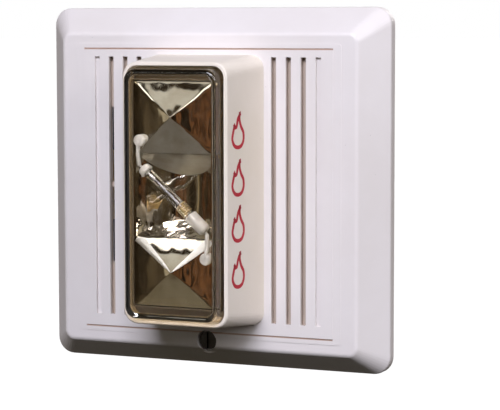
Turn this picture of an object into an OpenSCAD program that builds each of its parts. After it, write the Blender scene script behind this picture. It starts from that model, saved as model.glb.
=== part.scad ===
// Wall-mounted fire alarm horn strobe.
// Frame: X to the viewer's right, Z up, the front faces -Y, and the wall is the plane Y = 0.
// Every depth below is measured from the wall plane, towards the viewer.

/* [Front cover] */
// Width of the square cover
cover_w = 127; // [120:1:134]
// Height of the square cover
cover_h = 124; // [118:1:130]
// Gap between the wall and the cover's back edge
cover_gap = 0.8; // [0.8:0.1:1]
// Depth of the straight side band of the cover
side_depth = 3.4; // [3:0.1:4]
// Depth of the sloped bezel
bevel_depth = 10.3; // [9.5:0.1:10.5]
// Width of the sloped bezel, seen from the front
bevel_w = 8.5; // [8:0.1:9]
// Outer corner radius of the cover
cover_r = 6; // [5:0.5:8]
// Wall thickness of the cover
cover_wall = 2.4; // [2.2:0.1:2.6]
// Radius that eases the face's edge into the bezel
face_round = 2; // [1:0.1:2.2]
// Radius that eases the bezel into the side band
side_round = 1.5; // [1:0.1:1.8]
// Height of each of the two steps of the raised panel
panel_step = 0.15; // [0.1:0.05:0.4]
// Width of the fine line above and below the grilles
line_w = 0.45; // [0.4:0.05:0.6]

/* [Grille] */
// Distance from the centre to the first groove on each side
groove_first = 25.2; // [25:0.1:26]
// Spacing of the grooves
groove_pitch = 5.4; // [5:0.1:5.6]
// Width of a groove
groove_w = 1.9; // [1.5:0.1:2.2]
// Length of a groove
groove_len = 90.4; // [84:0.2:91]
// Depth of the inner grooves
groove_depth = 1.9; // [1:0.1:1.9]
// Depth of the outermost groove on each side
groove_shallow = 0.7; // [0.4:0.1:1]
// Height of one sound opening in the third groove on the left
sound_h = 26.3; // [20:0.1:28]
// Height of the bridge between the two sound openings
bridge_h = 1.8; // [1:0.1:3]

/* [Lens housing] */
// Projection of the housing from the cover's face to its rim
housing_out = 25; // [22:0.5:28]
// Width of the housing at the cover
housing_w = 43.3; // [42:0.1:44]
// Height of the housing at the cover
housing_h = 92; // [90:0.5:92]
// Inset of each side wall between the cover and the rim
housing_draft = 2.65; // [1.5:0.05:2.7]
// Inset of the top and bottom walls between the cover and the rim
housing_draft_z = 2.15; // [1.5:0.05:2.3]
// Wall thickness of the housing
housing_wall = 2; // [1.8:0.1:2.2]
// Distance that the lens stands proud of the rim
lens_out = 4.4; // [3.5:0.1:4.5]
// Thickness of the lens
lens_wall = 1.6; // [1.5:0.1:1.8]
// Width of the white rim around the lens
rim_w = 1.2; // [1:0.1:1.4]

/* [Strobe] */
// Width of the reflector
reflector_w = 29.8; // [29:0.1:30]
// Height of the reflector
reflector_h = 75; // [73:0.5:75]
// Height of each reflector peak above and below the centre
peak_z = 25.7; // [25:0.1:26]
// Rise of each reflector peak above its flange
peak_rise = 2.9; // [2:0.1:3]
// Depth of the upright trough behind the flash tube
trough_deep = 10.6; // [10.6:0.1:11]
// Radius of the glass flash tube
tube_r = 1.7; // [1.4:0.1:1.8]
// Slope of the flash tube, down to the right
tube_slope = 42; // [40:1:42]
// Length of the glass flash tube
tube_len = 30; // [29:0.5:30]

/* [Horn] */
// Distance of the horn from the cover's centre, to the left
horn_x = 38; // [37.8:0.1:38.2]
// Radius of the brass diaphragm
piezo_r = 13.5; // [12:0.5:13.5]

/* [Mounting plate] */
// Width of the mounting plate
plate_w = 108; // [104:1:110]
// Thickness of the mounting plate
plate_t = 1.2; // [1:0.1:1.2]
// Screw spacing of a single-gang box
gang_spacing = 83.3; // [83.3]
// Screw spacing of an octagon box
octagon_spacing = 88.9; // [88.9]
// Screw spacing of a square box, each way
square_spacing = 73; // [73]
// Width of every fixing slot
slot_w = 4.5; // [4.2:0.1:4.6]
// Overall length of every fixing slot
slot_len = 9; // [8:0.5:9]
// Radius of the hinge pins
hinge_r = 1; // [0.9:0.05:1]

/* [Rear housing] */
// Width of the housing that enters the wall box
rear_w = 46; // [45:1:46]
// Height of the housing that enters the wall box
rear_h = 60; // [60:1:62]
// Depth of that housing behind the wall plane
rear_depth = 9; // [8.5:0.5:9.5]

/* [Terminals] */
// Number of wiring terminals
terminal_count = 4; // [4]
// Spacing of the wiring terminals
terminal_pitch = 9; // [8.8:0.1:9.2]
// Width of the terminal block
block_w = 38; // [38]

/* [Hidden] */

// Small overlap that joins or cuts solids cleanly
lap = 0.1;
// Bore that a small screw cuts its thread in, and the hole it passes through freely
pilot_r = 1.15;
clear_r = 1.3;
// Sides of the circles inside a hull, and of small and large round parts
hull_fn = 32;
fine_fn = 48;
round_fn = 96;

// Depths of the cover
cover_back = -cover_gap;
bevel_back = cover_back - side_depth;
face_y = bevel_back - bevel_depth;
face_inner = face_y + cover_wall;
// The flat face sits slightly below the cover's centre, and is slightly taller than wide
face_z = -0.8;
face_taller = 1;
face_w = cover_w - 2 * bevel_w;
face_h = cover_h - 2 * bevel_w + face_taller;
bezel_angle = atan(bevel_depth / bevel_w);
round_steps = 4;
face_corner = 3;
panel_w = 93.2;
panel_h = 97.4;
panel_border_x = 2.9;
panel_border_z = 1.8;
line_depth = 0.4;

// Captive screw, low on the centre line
screw_z = -52.6;
screw_hole_r = 3.65;
screw_head_r = 3.1;
screw_r = 1.6;
screw_clear_r = 1.85;
neck_r = 1.3;
recess_y = face_y + 3;
boss_r = 4.6;
boss_back = recess_y + 1.9;
retainer_y = -5.2;
retainer_t = 0.8;
retainer_r = 2.6;
screw_tip = -0.5;

// Hinge line at the top
hinge_y = -2.6;
hinge_z = 57;
hook_r = 2.1;
hook_fit = 0.06;
hook_x = 34;
hook_w = 7;
ear_x = 32;

// Lens housing and the stack behind its rim
rim_y = face_y - housing_out;
rim_outer_w = housing_w - 2 * housing_draft;
rim_outer_h = housing_h - 2 * housing_draft_z;
lens_w = rim_outer_w - 2 * rim_w;
lens_h = rim_outer_h - 2 * rim_w;
lens_fit = 0.1;
lens_r = 3.9;
lens_front = rim_y - lens_out;
lens_edge = 1.1;
lens_taper = 1;
seat_y = rim_y + 4;
gasket_t = 0.8;
shroud_y = seat_y + gasket_t;
shroud_t = 1;
lip_y = shroud_y + shroud_t;
lip_t = 1;
housing_boss = [16.4, 40.6];
housing_boss_r = 2.4;

// Reflector
flange_y = lens_front + 4.6;
peak_y = flange_y - peak_rise;
skin = 1.4;
trough_z = -0.4;
trough_half = 13.9;
// The trough is round across, and its two ends lean inwards, towards the back
trough_r = (pow(trough_half, 2) + pow(trough_deep, 2)) / (2 * trough_deep);
trough_y = flange_y + trough_deep - trough_r;
trough_lean_low = 0.45;
trough_lean_top = 0.75;
reflector_leg_z = 31;
reflector_leg_r = 2.2;
reflector_side = 11;

// Flash tube, with its ends in two caps
tube_y = flange_y;
tube_z = -1.5;
cap_r = 2.35;
upper_cap_len = 2;
lower_cap_len = 7;
cap_end = 0.6;
lead_r = 0.4;
sleeve_r = 0.7;
// Each lead leaves its cap, bends forward and enters the reflector through a grommet
bend_run = tube_len / 2 + 1.6;
bend_x = bend_run * cos(tube_slope);
bend_y = flange_y - 0.9;
bend_z = bend_run * sin(tube_slope);
exit_x = 12;
exit_z = 19.3;
exit_y = flange_y - 1.9;
grommet_r = 2;
grommet_front = exit_y - 0.6;
grommet_back = flange_y + 3.4;

// Frame behind the cover that clamps the lens housing
frame_w = 46;
frame_h = 94;
frame_t = 1.8;
frame_open_w = 33;
frame_open_h = 54;
frame_back = face_inner + frame_t;
opening_w = 38;
opening_h = 86;

// Horn behind the grille on the left
chamber_w = 28;
chamber_h = 58;
chamber_wall = 1.2;
gasket_foam = 0.8;
chamber_front = face_inner + gasket_foam;
chamber_back = -8.4;
disc_t = 0.3;
ceramic_t = 0.25;
horn_cap_back = -6.1;
// The horn's two wires
wire_x = -horn_x + 6;
wire_z = 2;
wire_r = 0.5;
wire_hole_r = 0.7;

// Rear housing and the circuit board in it
tray_front = -4.8;
tray_back = -3.2;
tray_w = 104;
tray_h = 90;
rear_wall = 1.6;
board_w = 42.2;
board_h = 56.2;
board_t = 1.6;
board_back = -1;
board_front = board_back - board_t;
board_post = [18.6, 25.6];
tray_post = [47, 41];

// Transformer on the front of the board
trafo = [3, 15];
trafo_half = 7;
trafo_window = 4;
trafo_window_half = 1.6;
trafo_open = 4.6;

// Terminal block on the back of the board
block_h = 12;
block_z = -16.8;
block_back = 12;
bay_w = 7.4;
bay_floor = 4;
bay_top = 1.8;
contact_t = 0.8;
clamp_y = bay_floor + contact_t + 0.3;
clamp_t = 1;
terminal_r = 1.5;
terminal_fit = 0.06;
terminal_head_r = 2.8;
terminal_head_t = 2;
terminal_z = -17.3;

// Switches on the back of the board
candela_x = -9;
candela_z = 4;
mode_x = 10;
mode_z = 4;
mode_gap = 2.6;
switch_back = 5.6;
track_floor = 4;
slider_gap = 0.2;
knob_back = 8.6;
mode_knob_back = 7.4;

function terminal_x(i) = (i - (terminal_count + 1) / 2) * terminal_pitch;
function groove_x(i) = groove_first + i * groove_pitch;

// ---------- shared shapes ----------

// Box between two opposite corners
module box(low, high) {
    translate(low)
        cube(high - low);
}

// Flat outline with four round corners
module rounded(w, h, r) {
    square([w - 2 * r, h], center = true);
    square([w, h - 2 * r], center = true);
    for (sx = [-1, 1], sz = [-1, 1])
        translate([sx * (w / 2 - r), sz * (h / 2 - r)])
            circle(r = r);
}

// Slab parallel to the wall, from depth y0 back to y1
module slab(w, h, r, y0, y1, z = 0, x = 0) {
    translate([x, y1, z])
        rotate([90, 0, 0])
            linear_extrude(y1 - y0)
                rounded(w, h, r, $fn = hull_fn);
}

// Round bar square to the wall
module rod_y(x, z, r, y0, y1, fn = fine_fn) {
    translate([x, y1, z])
        rotate([90, 0, 0])
            cylinder(r = r, h = y1 - y0, $fn = fn);
}

// Round bar from left to right
module rod_x(y, z, r, x0, x1, fn = fine_fn) {
    translate([x0, y, z])
        rotate([0, 90, 0])
            cylinder(r = r, h = x1 - x0, $fn = fn);
}

// Round bar along a line between two points
module rod(a, b, r, fn = 24) {
    d = b - a;
    turn = atan2(d[1], d[0]);
    tilt = acos(d[2] / norm(d));
    translate(a)
        rotate([0, tilt, turn])
            cylinder(r = r, h = norm(d), $fn = fn);
}

// Fixing slot through the mounting plate
module slot(x, z, along_x) {
    run = (slot_len - slot_w) / 2;
    dx = along_x ? run : 0;
    dz = along_x ? 0 : run;
    for (s = [-1, 1])
        rod_y(x + s * dx, z + s * dz, slot_w / 2, -plate_t - lap, lap);
    box([x - dx - (along_x ? 0 : slot_w / 2), -plate_t - lap, z - dz - (along_x ? slot_w / 2 : 0)],
        [x + dx + (along_x ? 0 : slot_w / 2), lap, z + dz + (along_x ? slot_w / 2 : 0)]);
}

// Pan-head screw square to the wall, with its head's flat side at head_y and its point towards the front
module frame_screw(x, z, head_y, tip_y, r = 1.1, head_r = 2.2, head_t = 1.5) {
    difference() {
        union() {
            rod_y(x, z, r, tip_y, head_y + lap, 24);
            rod_y(x, z, head_r, head_y, head_y + head_t, 32);
        }
        cross_recess(x, z, head_y + head_t, head_r * 1.1);
    }
}

// Cross-shaped driver recess cut from the back
module cross_recess(x, z, y, span) {
    arm = 0.35;
    deep = 0.8;
    box([x - span / 2, y - deep, z - arm], [x + span / 2, y + lap, z + arm]);
    box([x - arm, y - deep, z - span / 2], [x + arm, y + lap, z + span / 2]);
}

// ---------- wall side ----------

module mounting_plate() color("silver") {
    plate_top = 52;
    plate_bottom = -47.5;
    open_w = 50;
    open_top = 32;
    open_bottom = -35;
    tab_front = -3.4;
    tab_w = 16;
    tab_low = -57;
    collar_r = 3;
    collar_back = -0.7;
    corner_cut = 8;
    difference() {
        union() {
            box([-plate_w / 2, -plate_t, plate_bottom], [plate_w / 2, 0, plate_top]);
            // Joggled tab for the captive screw
            box([-tab_w / 2, tab_front, tab_low], [tab_w / 2, tab_front + plate_t, plate_bottom + 1]);
            box([-tab_w / 2, tab_front, plate_bottom - plate_t + 1], [tab_w / 2, 0, plate_bottom + 1]);
            rod_y(0, screw_z, collar_r, tab_front + lap, collar_back);
            for (s = [-1, 1])
                hinge_ear(s, plate_top);
        }
        box([-open_w / 2, -plate_t - lap, open_bottom], [open_w / 2, lap, open_top]);
        rod_y(0, screw_z, screw_clear_r, tab_front - lap, 0);
        for (s = [-1, 1]) {
            slot(0, s * gang_spacing / 2, false);
            slot(s * octagon_spacing / 2, 0, true);
            for (t = [-1, 1])
                slot(s * square_spacing / 2, t * square_spacing / 2, true);
        }
        // Chamfered lower corners
        for (s = [-1, 1])
            translate([s * plate_w / 2, 0, plate_bottom])
                rotate([0, 45, 0])
                    cube([corner_cut, 4, corner_cut], center = true);
    }
}

// Upright ear with a pin that the cover hangs on
module hinge_ear(side, plate_top) {
    ear_half = 1.6;
    ear_foot = 4;
    low_x = side > 0 ? ear_x : -ear_x - plate_t;
    box([low_x, hinge_y - ear_half, plate_top - ear_foot], [low_x + plate_t, 0, hinge_z + ear_half]);
    pin_from = side > 0 ? ear_x : -hook_x - hook_w - 1;
    rod_x(hinge_y, hinge_z, hinge_r, pin_from, pin_from + hook_x + hook_w + 1 - ear_x);
}

// ---------- front cover ----------

// Thin slice of the cover, inset by some amount from its outline, at depth y
module cover_slice(w, h, r, inset, y, z) {
    slab(w - 2 * inset, h - 2 * inset, max(r - inset, 1), y, y + 0.02, z);
}

// Outside of the cover: side band, sloped bezel and face, with both edges rounded
module cover_outside() {
    side_angle = 90 - bezel_angle;
    face_run = face_round * tan(bezel_angle / 2);
    side_run = side_round * tan(side_angle / 2);
    hull() {
        slab(cover_w, cover_h, cover_r, bevel_back + side_run, cover_back);
        for (k = [1:round_steps]) {
            a = side_angle * k / round_steps;
            cover_slice(cover_w, cover_h, cover_r, side_round * (1 - cos(a)),
                        bevel_back + side_run - side_round * sin(a), 0);
        }
        for (k = [0:round_steps]) {
            a = bezel_angle * k / round_steps;
            cover_slice(face_w, face_h, face_corner, face_run - face_round * sin(a),
                        face_y + face_round * (1 - cos(a)), face_z);
        }
    }
}

// Hollow inside of the cover
module cover_inside() {
    face_shrink = 2.6;
    hull() {
        slab(cover_w - 2 * cover_wall, cover_h - 2 * cover_wall, cover_r - cover_wall,
             bevel_back, cover_back + lap);
        slab(face_w - face_shrink, face_h - face_shrink, 2, face_inner, face_inner + 0.4, face_z);
    }
}

module groove(x, depth) {
    z = groove_len / 2;
    box([x - groove_w / 2, face_y - 1, -z], [x + groove_w / 2, face_y + depth, z]);
}

module sound_opening(z0) {
    x = -groove_x(2);
    box([x - groove_w / 2, face_y, z0], [x + groove_w / 2, face_inner + lap, z0 + sound_h]);
}

// Hook that hangs on one hinge pin, open towards the bottom
module cover_hook(side) {
    x0 = side > 0 ? hook_x : -hook_x - hook_w;
    bore = hinge_r + hook_fit;
    web_low = 0.4;
    web_thin = 0.6;
    difference() {
        union() {
            rod_x(hinge_y, hinge_z, hook_r, x0, x0 + hook_w);
            box([x0, hinge_y - hook_r, hinge_z + web_low],
                [x0 + hook_w, hinge_y + hook_r - web_thin, cover_h / 2 - cover_wall + web_thin]);
        }
        rod_x(hinge_y, hinge_z, bore, x0 - 1, x0 + hook_w + 1);
        box([x0 - 1, hinge_y - bore, hinge_z - hook_r - 1], [x0 + hook_w + 1, hinge_y + bore, hinge_z]);
    }
}

module front_cover() color("white") {
    post_r = 3;
    post_bore_r = 1.1;
    post_bore = 6;
    sound_mid = 0.4;
    panel_r = 1;
    difference() {
        union() {
            difference() {
                cover_outside();
                cover_inside();
            }
            // Raised panel of two thin steps
            slab(panel_w + 2 * panel_border_x, panel_h + 2 * panel_border_z, panel_r, face_y - panel_step,
                 face_y + lap, face_z);
            slab(panel_w, panel_h, panel_r / 2, face_y - 2 * panel_step, face_y + lap, face_z);
            rod_y(0, screw_z, boss_r, face_inner - lap, boss_back);
            // Corner posts that the rear housing is screwed to
            for (sx = [-1, 1], sz = [-1, 1])
                rod_y(sx * tray_post[0], sz * tray_post[1], post_r, face_inner - lap, tray_front, 32);
            for (s = [-1, 1])
                cover_hook(s);
        }
        for (i = [0:3], s = [-1, 1])
            groove(s * groove_x(i), i == 3 ? groove_shallow : groove_depth);
        // Fine lines above and below the grilles
        for (s = [-1, 1])
            box([-panel_w / 2, face_y - 1, face_z + s * panel_h / 2 - line_w / 2],
                [panel_w / 2, face_y - 2 * panel_step + line_depth, face_z + s * panel_h / 2 + line_w / 2]);
        sound_opening(sound_mid + bridge_h / 2);
        sound_opening(sound_mid - bridge_h / 2 - sound_h);
        // Opening behind the lens housing
        box([-opening_w / 2, face_y - 1, -opening_h / 2], [opening_w / 2, face_inner + lap, opening_h / 2]);
        rod_y(0, screw_z, screw_hole_r, face_y - 1, recess_y);
        rod_y(0, screw_z, screw_clear_r, recess_y - lap, boss_back + lap);
        for (sx = [-1, 1], sz = [-1, 1])
            rod_y(sx * tray_post[0], sz * tray_post[1], post_bore_r, tray_front - post_bore,
                  tray_front + lap, 32);
    }
}

// ---------- lens housing and strobe ----------

module lens_housing() color("white") {
    inner_w = housing_w - 2 * housing_wall;
    inner_h = housing_h - 2 * housing_wall;
    base_r = 4.6;
    rim_r = 5;
    rim_ease = 0.3;
    notch_x = 18.2;
    notch_w = 2.4;
    notch_deep = 1.2;
    notch_t = 0.9;
    boss_bore = 12;
    boss_short = 3;
    window_inset = 4;
    base_y = face_y - 2 * panel_step;
    difference() {
        union() {
            difference() {
                hull() {
                    slab(housing_w, housing_h, base_r, base_y - 0.4, base_y);
                    slab(rim_outer_w + 0.2, rim_outer_h + 0.2, rim_r, rim_y + 0.4, rim_y + 1);
                    slab(rim_outer_w - 2 * rim_ease, rim_outer_h - 2 * rim_ease, rim_r - rim_ease,
                         rim_y, rim_y + 0.1);
                }
                hull() {
                    slab(inner_w, inner_h, base_r - 2, base_y - 0.4, base_y + lap);
                    slab(rim_outer_w - 2 * housing_wall, rim_outer_h - 2 * housing_wall, rim_r - 2,
                         lip_y + lip_t, lip_y + lip_t + 0.1);
                }
            }
            for (sx = [-1, 1], sz = [-1, 1])
                rod_y(sx * housing_boss[0], sz * housing_boss[1], housing_boss_r, lip_y + boss_short,
                      base_y, 32);
        }
        // Pocket for the lens, its gasket and the shroud
        slab(lens_w + 2 * lens_fit, lens_h + 2 * lens_fit, lens_r + lens_fit, rim_y - 1, lip_y);
        // Window through the lip behind the shroud
        slab(lens_w - window_inset, lens_h - window_inset, lens_r - 1.5, lip_y - lap, lip_y + lip_t + 1);
        for (sx = [-1, 1], sz = [-1, 1])
            rod_y(sx * housing_boss[0], sz * housing_boss[1], pilot_r, base_y - boss_bore,
                  base_y + lap, 32);
        // Small notches at the foot of the lower corners, for prising the housing off
        for (x = [notch_x, -notch_x - notch_w])
            box([x, base_y - notch_t, -housing_h / 2 - 1],
                [x + notch_w, base_y + 1, -housing_h / 2 + notch_deep]);
    }
}

module lens() color("ivory", 0.4) {
    front_w = lens_w - 2 * lens_taper;
    front_h = lens_h - 2 * lens_taper;
    edge_mid = 0.35;
    inner_r = lens_r - 1.3;
    difference() {
        // The front edge is rounded in two facets
        hull() {
            slab(lens_w, lens_h, lens_r, rim_y, seat_y);
            slab(front_w, front_h, lens_r - 0.2, lens_front + lens_edge, lens_front + lens_edge + 0.2);
            slab(front_w - 2 * edge_mid, front_h - 2 * edge_mid, lens_r - 0.4,
                 lens_front + edge_mid, lens_front + edge_mid + 0.05);
            slab(front_w - 2 * lens_edge, front_h - 2 * lens_edge, lens_r - 1, lens_front,
                 lens_front + 0.1);
        }
        hull() {
            slab(lens_w - 2 * lens_wall, lens_h - 2 * lens_wall, inner_r, seat_y - 1, seat_y + lap);
            slab(front_w - 2 * lens_wall, front_h - 2 * lens_wall, inner_r - 0.3,
                 lens_front + lens_wall, lens_front + lens_wall + 0.1);
        }
    }
}

module lens_gasket() color("dimgray") {
    band = 1.5;
    difference() {
        slab(lens_w, lens_h, lens_r, seat_y, shroud_y);
        slab(lens_w - 2 * band, lens_h - 2 * band, lens_r - band + 0.1, seat_y - 1, shroud_y + 1);
    }
}

// Dark frame that fills the space between the reflector and the lens, with a wall round the reflector
module reflector_shroud() color("darkslategray") {
    gap = 0.3;
    wall = 0.5;
    wall_front = flange_y + 0.4;
    difference() {
        union() {
            slab(lens_w, lens_h, lens_r, shroud_y, lip_y);
            slab(reflector_w + 2 * (gap + wall), reflector_h + 2 * (gap + wall), 1, wall_front, lip_y);
        }
        slab(reflector_w + 2 * gap, reflector_h + 2 * gap, 0.6, wall_front - 1, lip_y + 1);
    }
}

// Solid between the flange and one peak; grow is negative for the hollow behind the skin
module peak_solid(side, grow, floor_y) {
    tip = 0.05;
    z_in = trough_half + trough_z * side;
    z_out = reflector_h / 2;
    z_mid = side * (z_in + z_out) / 2;
    span = z_out - z_in + 2 * grow;
    w = reflector_w + 2 * grow;
    hull() {
        box([-w / 2, flange_y - grow, z_mid - span / 2], [w / 2, floor_y, z_mid + span / 2]);
        box([-tip, peak_y - grow, side * peak_z - tip],
            [tip, peak_y - grow + 2 * tip, side * peak_z + tip]);
    }
}

// Upright round trough with leaning ends, grown by some amount, from front before the flange
module trough(grow, front) {
    low_y = flange_y - front;
    high_y = flange_y + trough_deep + grow + 0.5;
    run = high_y - flange_y;
    half = trough_half + grow;
    intersection() {
        translate([0, trough_y, -reflector_h / 2])
            cylinder(r = trough_r + grow, h = reflector_h, $fn = round_fn);
        translate([-reflector_w / 2, 0, trough_z])
            rotate([90, 0, 90])
                linear_extrude(reflector_w)
                    polygon([[low_y, -half - front * trough_lean_low], [high_y, -half + run * trough_lean_low],
                             [high_y, half - run * trough_lean_top], [low_y, half + front * trough_lean_top]]);
    }
}

module reflector() color("lightgray") {
    back_y = flange_y + reflector_side;
    skirt = 5;
    leg_bore = 8;
    leg_sunk = 0.6;
    difference() {
        union() {
            for (s = [-1, 1])
                difference() {
                    peak_solid(s, 0, flange_y + skirt);
                    peak_solid(s, -skin, flange_y + skirt + 1);
                }
            trough(skin, 0);
            for (s = [-1, 1])
                rod_y(0, s * reflector_leg_z, reflector_leg_r, flange_y - leg_sunk, face_inner, 32);
        }
        trough(0, 1);
        // Holes for the lead grommets, and pilot holes in the legs
        for (s = [-1, 1]) {
            rod_y(s * exit_x, tube_z - s * exit_z, grommet_r + 0.05, peak_y - 1, back_y, 32);
            rod_y(0, s * reflector_leg_z, pilot_r, face_inner - leg_bore, face_inner + lap, 32);
        }
    }
}

// Places a part in the flash tube's own line, along X before it is sloped
module on_tube() {
    translate([0, tube_y, tube_z])
        rotate([0, tube_slope, 0])
            children();
}

module flash_tube() color("lightcyan", 0.6) {
    glass = 0.5;
    plug = 1.5;
    on_tube() {
        difference() {
            rod_x(0, 0, tube_r, -tube_len / 2, tube_len / 2);
            rod_x(0, 0, tube_r - glass, -tube_len / 2 + plug, tube_len / 2 - plug);
        }
    }
}

// White silicone cap over one end of the tube
module tube_cap(side, length) {
    inner = side * (tube_len / 2 - length);
    end = side * (tube_len / 2 + cap_end);
    on_tube() {
        difference() {
            rod_x(0, 0, cap_r, min(inner, end), max(inner, end), 32);
            rod_x(0, 0, tube_r, min(inner - side, side * tube_len / 2), max(inner - side,
                  side * tube_len / 2));
        }
    }
}

module tube_cap_upper() color("white") {
    tube_cap(-1, upper_cap_len);
}

module tube_cap_lower() color("white") {
    tube_cap(1, lower_cap_len);
}

// Fine wire band that fires the tube
module trigger_band() color("goldenrod") {
    turns = 5;
    wire = 0.5;
    stand = 0.35;
    pitch = 0.9;
    first = 3;
    on_tube() {
        for (i = [0:turns - 1])
            difference() {
                rod_x(0, 0, tube_r + stand, first + i * pitch, first + i * pitch + wire, 32);
                rod_x(0, 0, tube_r, first + i * pitch - 1, first + i * pitch + 1);
            }
    }
}

// One lead's route, as a bar of radius r: cap, bend, grommet, and back to depth back
module lead_route(side, r, back) {
    turn = [side * bend_x, bend_y, tube_z - side * bend_z];
    exit = [side * exit_x, exit_y, tube_z - side * exit_z];
    rod(turn, exit, r);
    translate(turn)
        sphere(r = r, $fn = 24);
    translate(exit)
        sphere(r = r, $fn = 24);
    rod_y(exit[0], exit[2], r, exit[1], back, 24);
}

// Bare lead between the tube's end and the bend
module lead_stub(side) {
    near = tube_len / 2;
    rod([side * near * cos(tube_slope), tube_y, tube_z - side * near * sin(tube_slope)],
        [side * bend_x, bend_y, tube_z - side * bend_z], lead_r);
}

// Two stiff leads from the caps back to the circuit board
module tube_leads() color("silver") {
    for (s = [-1, 1])
        difference() {
            union() {
                lead_route(s, lead_r, board_front);
                lead_stub(s);
            }
            on_tube()
                rod_x(0, 0, cap_r, -tube_len / 2 - cap_end, tube_len / 2 + cap_end, 32);
        }
}

// White insulating sleeves on the leads, with grommets where they enter the reflector
module lead_sleeves() color("white") {
    for (s = [-1, 1])
        difference() {
            union() {
                lead_route(s, sleeve_r, grommet_back);
                rod_y(s * exit_x, tube_z - s * exit_z, grommet_r, grommet_front, grommet_back, 32);
            }
            lead_route(s, lead_r, board_front);
            lead_stub(s);
        }
}

// ---------- clamp frame and its screws ----------

module housing_frame() color("gainsboro") {
    peg_play = 0.05;
    difference() {
        union() {
            slab(frame_w, frame_h, 2, face_inner, frame_back);
            for (sx = [-1, 1], sz = [-1, 1])
                rod_y(sx * housing_boss[0], sz * housing_boss[1], housing_boss_r - peg_play,
                      face_y - 2 * panel_step, face_inner + lap, 32);
        }
        box([-frame_open_w / 2, face_inner - 1, -frame_open_h / 2],
            [frame_open_w / 2, frame_back + 1, frame_open_h / 2]);
        for (sx = [-1, 1], sz = [-1, 1])
            rod_y(sx * housing_boss[0], sz * housing_boss[1], clear_r, face_y - 2, frame_back + lap, 32);
        for (s = [-1, 1])
            rod_y(0, s * reflector_leg_z, clear_r, face_inner - 1, frame_back + lap, 32);
    }
}

module housing_screws() color("silver") {
    length = 13;
    for (sx = [-1, 1], sz = [-1, 1])
        frame_screw(sx * housing_boss[0], sz * housing_boss[1], frame_back, frame_back - length);
}

module reflector_screws() color("silver") {
    length = 8;
    for (s = [-1, 1])
        frame_screw(0, s * reflector_leg_z, frame_back, frame_back - length);
}

// ---------- horn ----------

// Tray that seals around the sound openings and leads to the diaphragm
module horn_chamber() color("dimgray") {
    ledge = 1.2;
    difference() {
        slab(chamber_w, chamber_h, 2, chamber_front, chamber_back, 0, -horn_x);
        slab(chamber_w - 2 * chamber_wall, chamber_h - 2 * chamber_wall, 1,
             chamber_front - 1, chamber_back - 1, 0, -horn_x);
        rod_y(-horn_x, 0, piezo_r - ledge, chamber_back - 2, chamber_back + 1, round_fn);
    }
}

module horn_gasket() color("black") {
    difference() {
        slab(chamber_w, chamber_h, 2, face_inner, chamber_front, 0, -horn_x);
        slab(chamber_w - 2 * chamber_wall, chamber_h - 2 * chamber_wall, 1,
             face_inner - 1, chamber_front + 1, 0, -horn_x);
    }
}

module piezo_disc() color("goldenrod") {
    rod_y(-horn_x, 0, piezo_r, chamber_back, chamber_back + disc_t, round_fn);
}

module piezo_ceramic() color("wheat") {
    share = 0.7;
    rod_y(-horn_x, 0, piezo_r * share, chamber_back + disc_t, chamber_back + disc_t + ceramic_t, round_fn);
}

module horn_cap() color("dimgray") {
    cap_fit = 0.1;
    cap_wall = 0.8;
    outer_r = piezo_r + 0.5;
    difference() {
        rod_y(-horn_x, 0, outer_r, chamber_back, horn_cap_back, round_fn);
        rod_y(-horn_x, 0, piezo_r + cap_fit, chamber_back - 1, chamber_back + disc_t + cap_fit, round_fn);
        rod_y(-horn_x, 0, piezo_r - 1.5, chamber_back - 1, horn_cap_back - cap_wall, round_fn);
        for (s = [-1, 1])
            rod_y(wire_x, s * wire_z, wire_hole_r, horn_cap_back - 2, horn_cap_back + 1, 24);
    }
}

// Two insulated wires from the diaphragm to the circuit board
module piezo_leads() color("firebrick") {
    run_y = tray_front - 0.05 - wire_r;
    board_x = -20.4;
    for (s = [-1, 1]) {
        z = s * wire_z;
        rod_y(wire_x, z, wire_r, chamber_back + disc_t + ceramic_t, run_y + wire_r, 24);
        rod([wire_x, run_y, z], [board_x, run_y, z], wire_r);
        rod_y(board_x, z, wire_r, run_y - wire_r, board_front, 24);
    }
}

// ---------- rear housing and electronics ----------

module rear_housing() color("dimgray") {
    in_w = rear_w - 2 * rear_wall;
    in_h = rear_h - 2 * rear_wall;
    post_r = 2.4;
    post_bore = 6;
    play = 0.3;
    candela_half = [6, 2.5];
    mode_half = [4, 3.5];
    wire_room = 3.5;
    rib_x = 40;
    rib_z = 34;
    rib_half = 0.6;
    rib_t = 0.9;
    difference() {
        union() {
            slab(tray_w, tray_h, 3, tray_front, tray_back);
            slab(rear_w, rear_h, 2, tray_front, rear_depth);
        }
        difference() {
            slab(in_w, in_h, 0.8, tray_front - 1, rear_depth - rear_wall);
            for (sx = [-1, 1], sz = [-1, 1])
                rod_y(sx * board_post[0], sz * board_post[1], post_r, board_back, rear_depth, 32);
        }
        for (sx = [-1, 1], sz = [-1, 1]) {
            rod_y(sx * board_post[0], sz * board_post[1], pilot_r, board_back - 1,
                  board_back + post_bore, 32);
            rod_y(sx * tray_post[0], sz * tray_post[1], clear_r, tray_front - 1, tray_back + 1, 32);
        }
        // Window for the terminal block
        box([-block_w / 2 - play, 0, block_z - block_h / 2 - play],
            [block_w / 2 + play, rear_depth + 1, block_z + block_h / 2 + play]);
        // Windows for the two switches
        box([candela_x - candela_half[0], 0, candela_z - candela_half[1]],
            [candela_x + candela_half[0], rear_depth + 1, candela_z + candela_half[1]]);
        box([mode_x - mode_half[0], 0, mode_z - mode_half[1]],
            [mode_x + mode_half[0], rear_depth + 1, mode_z + mode_half[1]]);
        // Room for the horn's wires
        box([-rear_w / 2 - 1, tray_front - 1, -wire_room], [-in_w / 2 + 1, tray_front + 1, wire_room]);
    }
    // Two ribs that stiffen the tray, clear of the mounting plate
    for (s = [-1, 1])
        box([-rib_x, tray_back - lap, s * rib_z - rib_half],
            [rib_x, tray_back + rib_t, s * rib_z + rib_half]);
}

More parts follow.
